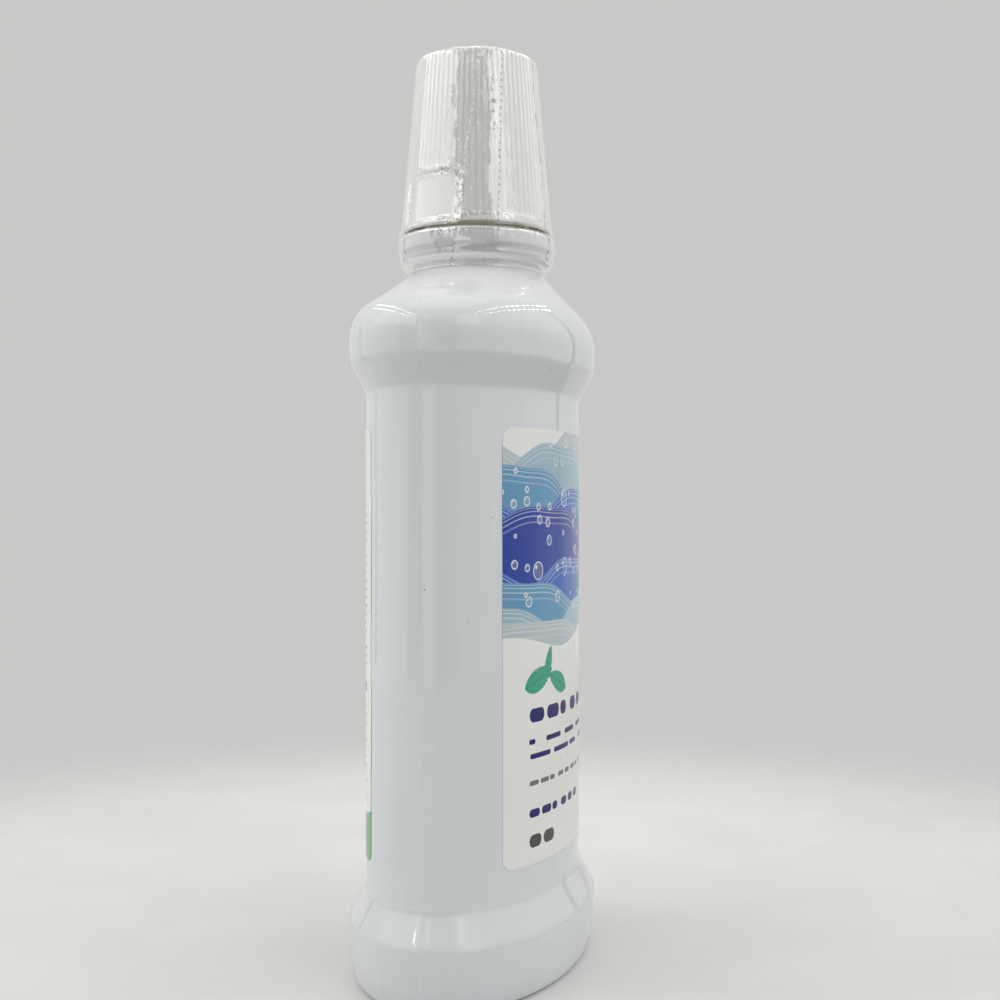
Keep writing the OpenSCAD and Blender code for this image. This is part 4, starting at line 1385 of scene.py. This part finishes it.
def clear_film():
    """Transparent film that reflects by Fresnel's law and is crackled by facets. Round each hole it has a
    faint dark lip of painted shade and a pale stretched rim, and it is paler where it folds over the collar's
    top edge."""
    material, tree, shader, place = start_material("clear_film")
    from_edge, beside_hole, crumple = attribute_place(tree, "film_marks")
    drawn = (1 + crumple).math("MINIMUM", 1.0)
    crumple = crumple.math("MAXIMUM", 0.0)
    patches = drawn * rise(noise(place, 5, 5, 9), 0.46, 0.66)
    large = from_group(tree, facet_group, {"Place": place, "Width": 1.5, "Tallness": 2.4})["Height"]
    small = from_group(tree, facet_group, {"Place": place, "Width": 0.75, "Tallness": 1.6})["Height"]
    lines = from_group(tree, crease_group, {"Place": place, "Width": 1.5, "Tallness": 2.4})["Height"]
    relief = large * drawn * (0.42 + 0.6 * patches) + small * (0.05 + 0.4 * patches + 1.6 * crumple)
    relief = relief + lines * (0.22 * patches + 0.2 * crumple)
    normal = raise_skin(tree, shader, relief, 0.15)
    fresnel = Field(tree, make_node(tree, "ShaderNodeFresnel", {"IOR": 1.5, "Normal": normal}).outputs[0])
    dust = from_group(tree, dust_group, {"Place": place, "Largest": 0.16, "Share of cells": 0.35})["Speck"]
    from_hole_middle = length_of(from_edge, beside_hole)
    # Painted shade: a dark ring at the lip of each hole, where the thickened edge bends the light away.
    lip = 0.6 * rise(from_hole_middle, hole_r + 0.10, hole_r + 0.03)
    stretched_rim = rise(from_hole_middle, hole_r + 0.35, hole_r + 0.15)
    _, _, height = parts_of(place)
    clinging = (1 - drawn) * height.math("GREATER_THAN", z_cap)
    below_edge = rise(height, z_collar_top - 1.0, z_collar_top - 0.5)
    fold = below_edge * rise(height, z_collar_top + 0.3, z_collar_top)
    milky = (0.08 + 0.02 * patches + 0.26 * crumple) * (1 - 0.9 * clinging)
    milky = milky + 0.2 * stretched_rim + 0.25 * fold
    dust_and_hole_shade = dust.math("MAXIMUM", lip)
    feed(tree, shader.inputs["Base Color"], painted(dust_and_hole_shade, (1, 1, 1, 1), dust_and_shade_colour))
    dull = dust_and_hole_shade.math("MAXIMUM", stretched_rim)
    feed(tree, shader.inputs["Roughness"], 0.02 + 0.03 * patches + 0.4 * dull)
    shader.inputs["Metallic"].default_value = 1
    outside = 1 - Field(tree, tree.nodes.new("ShaderNodeNewGeometry").outputs["Backfacing"])
    share = outside * (milky + 2 * fresnel).math("MINIMUM", 0.75).math("MAXIMUM", 0.4 * dust_and_hole_shade)
    clear = make_node(tree, "ShaderNodeBsdfTransparent")
    blend_shaders(tree, share, clear, shader, "Material Output")
    return material


shrink_film = clear_film()
for film in (film_sleeve, tear_strip, film_skirt, strip_tail):
    dress(film, shrink_film)
print("materials:", sorted(material.name for material in bpy.data.materials))

# %% [markdown]
# ## The studio
#
# A white glossy bottle shows its shape only by what it mirrors, so the light is a room that is worked out
# from the direction alone: pale walls, a dark opening with a paler bar where the camera looks in, lighter
# screens high on both sides of it, two small bright patches, dark seams in the two far corners, and a
# dimmer roof with a bright middle and two rows of small lamps on each side. Directions are told as degrees
# to the right of the camera and degrees above the floor.

# %% The camera at the photograph's angle
camera_place = (-0.3197, -0.0913, 0.10895)
camera_turn = 14.95
camera_data = bpy.data.cameras.new("camera")
camera_data.lens = 48.555
camera_data.sensor_width = 36
camera_data.shift_y = 0.0072
camera_data.clip_start = 0.01
camera = bpy.data.objects.new("camera", camera_data)
camera.location = camera_place
camera.rotation_euler = (np.radians(90), 0, np.radians(camera_turn - 90))
bpy.context.scene.collection.objects.link(camera)
bpy.context.scene.camera = camera

# %% The room as a field of light
wall_light = 0.84
back_light = 0.72
roof_light = 0.57
roof_front_light = 0.41
side_light = 0.6
zenith_light = 1.2
opening_light = 0.16
bar_light = 1.2
screen_light = 0.8
patch_light = 1.0
lamp_light = 11.0
lamp_row_start = 0.69
lamp_row_pitch = 0.23
lamp_pitch = 0.12
lamp_r = 0.033
lamp_edge = 0.005
seam_half_w = 1.3
low_opening = ((-64, 27, 1.5), (-12, 18, 2.0))
high_opening = ((-38, 23, 1.5), (18, 33, 2.0))
bar = ((-31, -8, 1.0), (-12, 18, 2.0))
bar_step = 15
left_screen = ((-112, -37, 1.2), (17, 44, 3))
right_screen = ((25, 57, 1.2), (12, 44, 4))
far_screen = ((25, 126, 8), (12, 44, 4))
left_patch = ((-27, -18, 1.0), (34, 41, 1.0))
right_patch = ((30, 39, 1.0), (34, 41, 1.0))
backdrop = (0.585, 0.58, 0.57, 1)


def between(value, low, high, soft):
    """1 between two values and 0 outside, with soft edges."""
    return rise(value, low - soft, low + soft) * rise(value, high + soft, high - soft)


def inside(around, above, window):
    """1 inside a window of the room. A window holds a lowest angle, a highest angle and the reach of its
    soft edges, once for around and once for above."""
    return between(around, *window[0]) * between(above, *window[1])


def lamp_rows(side, ahead):
    """Dots of light in two rows on each side, on a flat roof seen at a height of one."""
    row = (abs(side) - lamp_row_start) / lamp_row_pitch
    dot = ahead / lamp_pitch
    across_row = (row.math("FRACT") - 0.5) * lamp_row_pitch
    along_row = (dot.math("FRACT") - 0.5) * lamp_pitch
    both_rows = between(abs(side), lamp_row_start, lamp_row_start + 2 * lamp_row_pitch, 0.01)
    both_rows = both_rows * rise(ahead, -1.33, -1.27) * rise(ahead + 0.3 * side, 0.89, 0.83)
    return both_rows * rise(length_of(across_row, along_row), lamp_r + lamp_edge, lamp_r - lamp_edge)


def beside_view(x, y):
    """How far a place lies to the right of the camera's line of view."""
    turn = np.radians(camera_turn)
    return x * float(np.sin(turn)) - y * float(np.cos(turn))


def room_light(direction):
    """Brightness of the room in a direction."""
    x, y, z = parts_of(direction)
    turn = np.radians(camera_turn)
    front = x * float(-np.cos(turn)) - y * float(np.sin(turn))
    side = beside_view(x, y)
    around = side.math("ARCTAN2", front) * float(180 / np.pi)
    above = z.math("ARCSINE") * float(180 / np.pi)
    light = wall_light + (back_light - wall_light) * rise(abs(around), 125, 150)
    light = light + (side_light - wall_light) * between(around, 27, 50, 12) * rise(above, 20, 10)
    roof = roof_light + (roof_front_light - roof_light) * rise(front, 0.0, 0.5)
    light = light + (roof - light) * rise(above, 25, 50)
    light = light + (zenith_light - roof_light) * rise(above, 58, 68)
    seam = rise(abs(abs(around) - 134), seam_half_w + 0.6, seam_half_w)
    seam = seam * rise(above - 27 * rise(around, -1, 1), 18, 12)
    light = light * (1 - 0.85 * seam)
    opening = inside(around, above, low_opening).math("MAXIMUM", inside(around, above, high_opening))
    on_bar = inside(around + bar_step * rise(above, 5, 8), above, bar)
    light = light * (1 - opening) + opening * (opening_light + (bar_light - opening_light) * on_bar)
    screens = inside(around, above, left_screen) + 0.8 * inside(around, above, right_screen)
    screens = screens + 0.36 * inside(around, above, far_screen)
    patches = inside(around, above, left_patch) + inside(around, above, right_patch)
    upward = z.math("MAXIMUM", 0.05)
    lamps = lamp_rows(side / upward, front / upward) * rise(z, 0.2, 0.3)
    return light + screen_light * screens + patch_light * patches + lamp_light * lamps


def make_world():
    """The room for everything but the camera, which sees a plain pale backdrop."""
    world = bpy.data.worlds.new("studio")
    world.use_nodes = True
    tree = world.node_tree
    direction = Field(tree, tree.nodes.new("ShaderNodeTexCoord").outputs["Generated"])
    room = tree.nodes["Background"]
    feed(tree, room.inputs["Strength"], room_light(direction))
    room.inputs["Color"].default_value = (1.0, 1.0, 0.985, 1)
    plain = make_node(tree, "ShaderNodeBackground", {"Color": backdrop})
    seen = tree.nodes.new("ShaderNodeLightPath").outputs["Is Camera Ray"]
    blend_shaders(tree, Field(tree, seen), room, plain, "World Output")
    bpy.context.scene.world = world


make_world()

# %% [markdown]
# The floor is a wide pale disc. It has to keep the shadow under the foot and yet run into the backdrop with
# no line, so for the camera it fades out with its distance from the bottle.

# %% The floor
floor_pale = (0.72, 0.715, 0.70, 1)
floor_palest = (0.75, 0.745, 0.73, 1)
floor_bounce = (0.452, 0.46, 0.466, 1)
z_floor = -0.02
floor_columns = 96
rings = np.array([0.001, 60, 120, 200, 300, 400, 500, 600])[:, None]
turns = np.arange(floor_columns) * 2 * np.pi / floor_columns
floor_points = np.stack([rings * np.cos(turns), rings * np.sin(turns), z_floor + 0 * rings * turns], axis=-1)
floor_faces = grid_faces(len(rings), floor_columns, True)
studio_floor = make_piece("studio_floor", floor_points.reshape(-1, 3), [floor_faces])


def floor_material():
    """A matt floor that fades out for the camera between two radii. For the light that bounces off it to
    other pieces it is darker, and darker still to the right of the bottle."""
    material, tree, shader, place = start_material("studio_floor")
    x, y, _ = parts_of(place)
    fade = rise(length_of(x, y), 330, 150)
    path = tree.nodes.new("ShaderNodeLightPath")
    seen = Field(tree, path.outputs["Is Camera Ray"])
    shown = seen.math("MAXIMUM", Field(tree, path.outputs["Is Glossy Ray"]))
    share = 1 - seen * (1 - fade)
    mottle = noise(place, 40, 40, 40)
    pale = painted(rise(mottle, 0.3, 0.7), floor_pale, floor_palest)
    dim = 0.6 * (1 - seen) * rise(beside_view(x, y), 0, 250)
    tone = painted(shown, floor_bounce, pale)
    feed(tree, shader.inputs["Base Color"], painted(dim, tone, (0, 0, 0, 1)))
    shader.inputs["Roughness"].default_value = 0.7
    clear = make_node(tree, "ShaderNodeBsdfTransparent")
    blend_shaders(tree, share, clear, shader, "Material Output")
    return material


dress(studio_floor, floor_material())
bpy.context.scene.view_settings.view_transform = "Standard"
bpy.context.scene.cycles.max_bounces = 16
bpy.context.scene.cycles.diffuse_bounces = 8
bpy.context.scene.cycles.transparent_max_bounces = 32
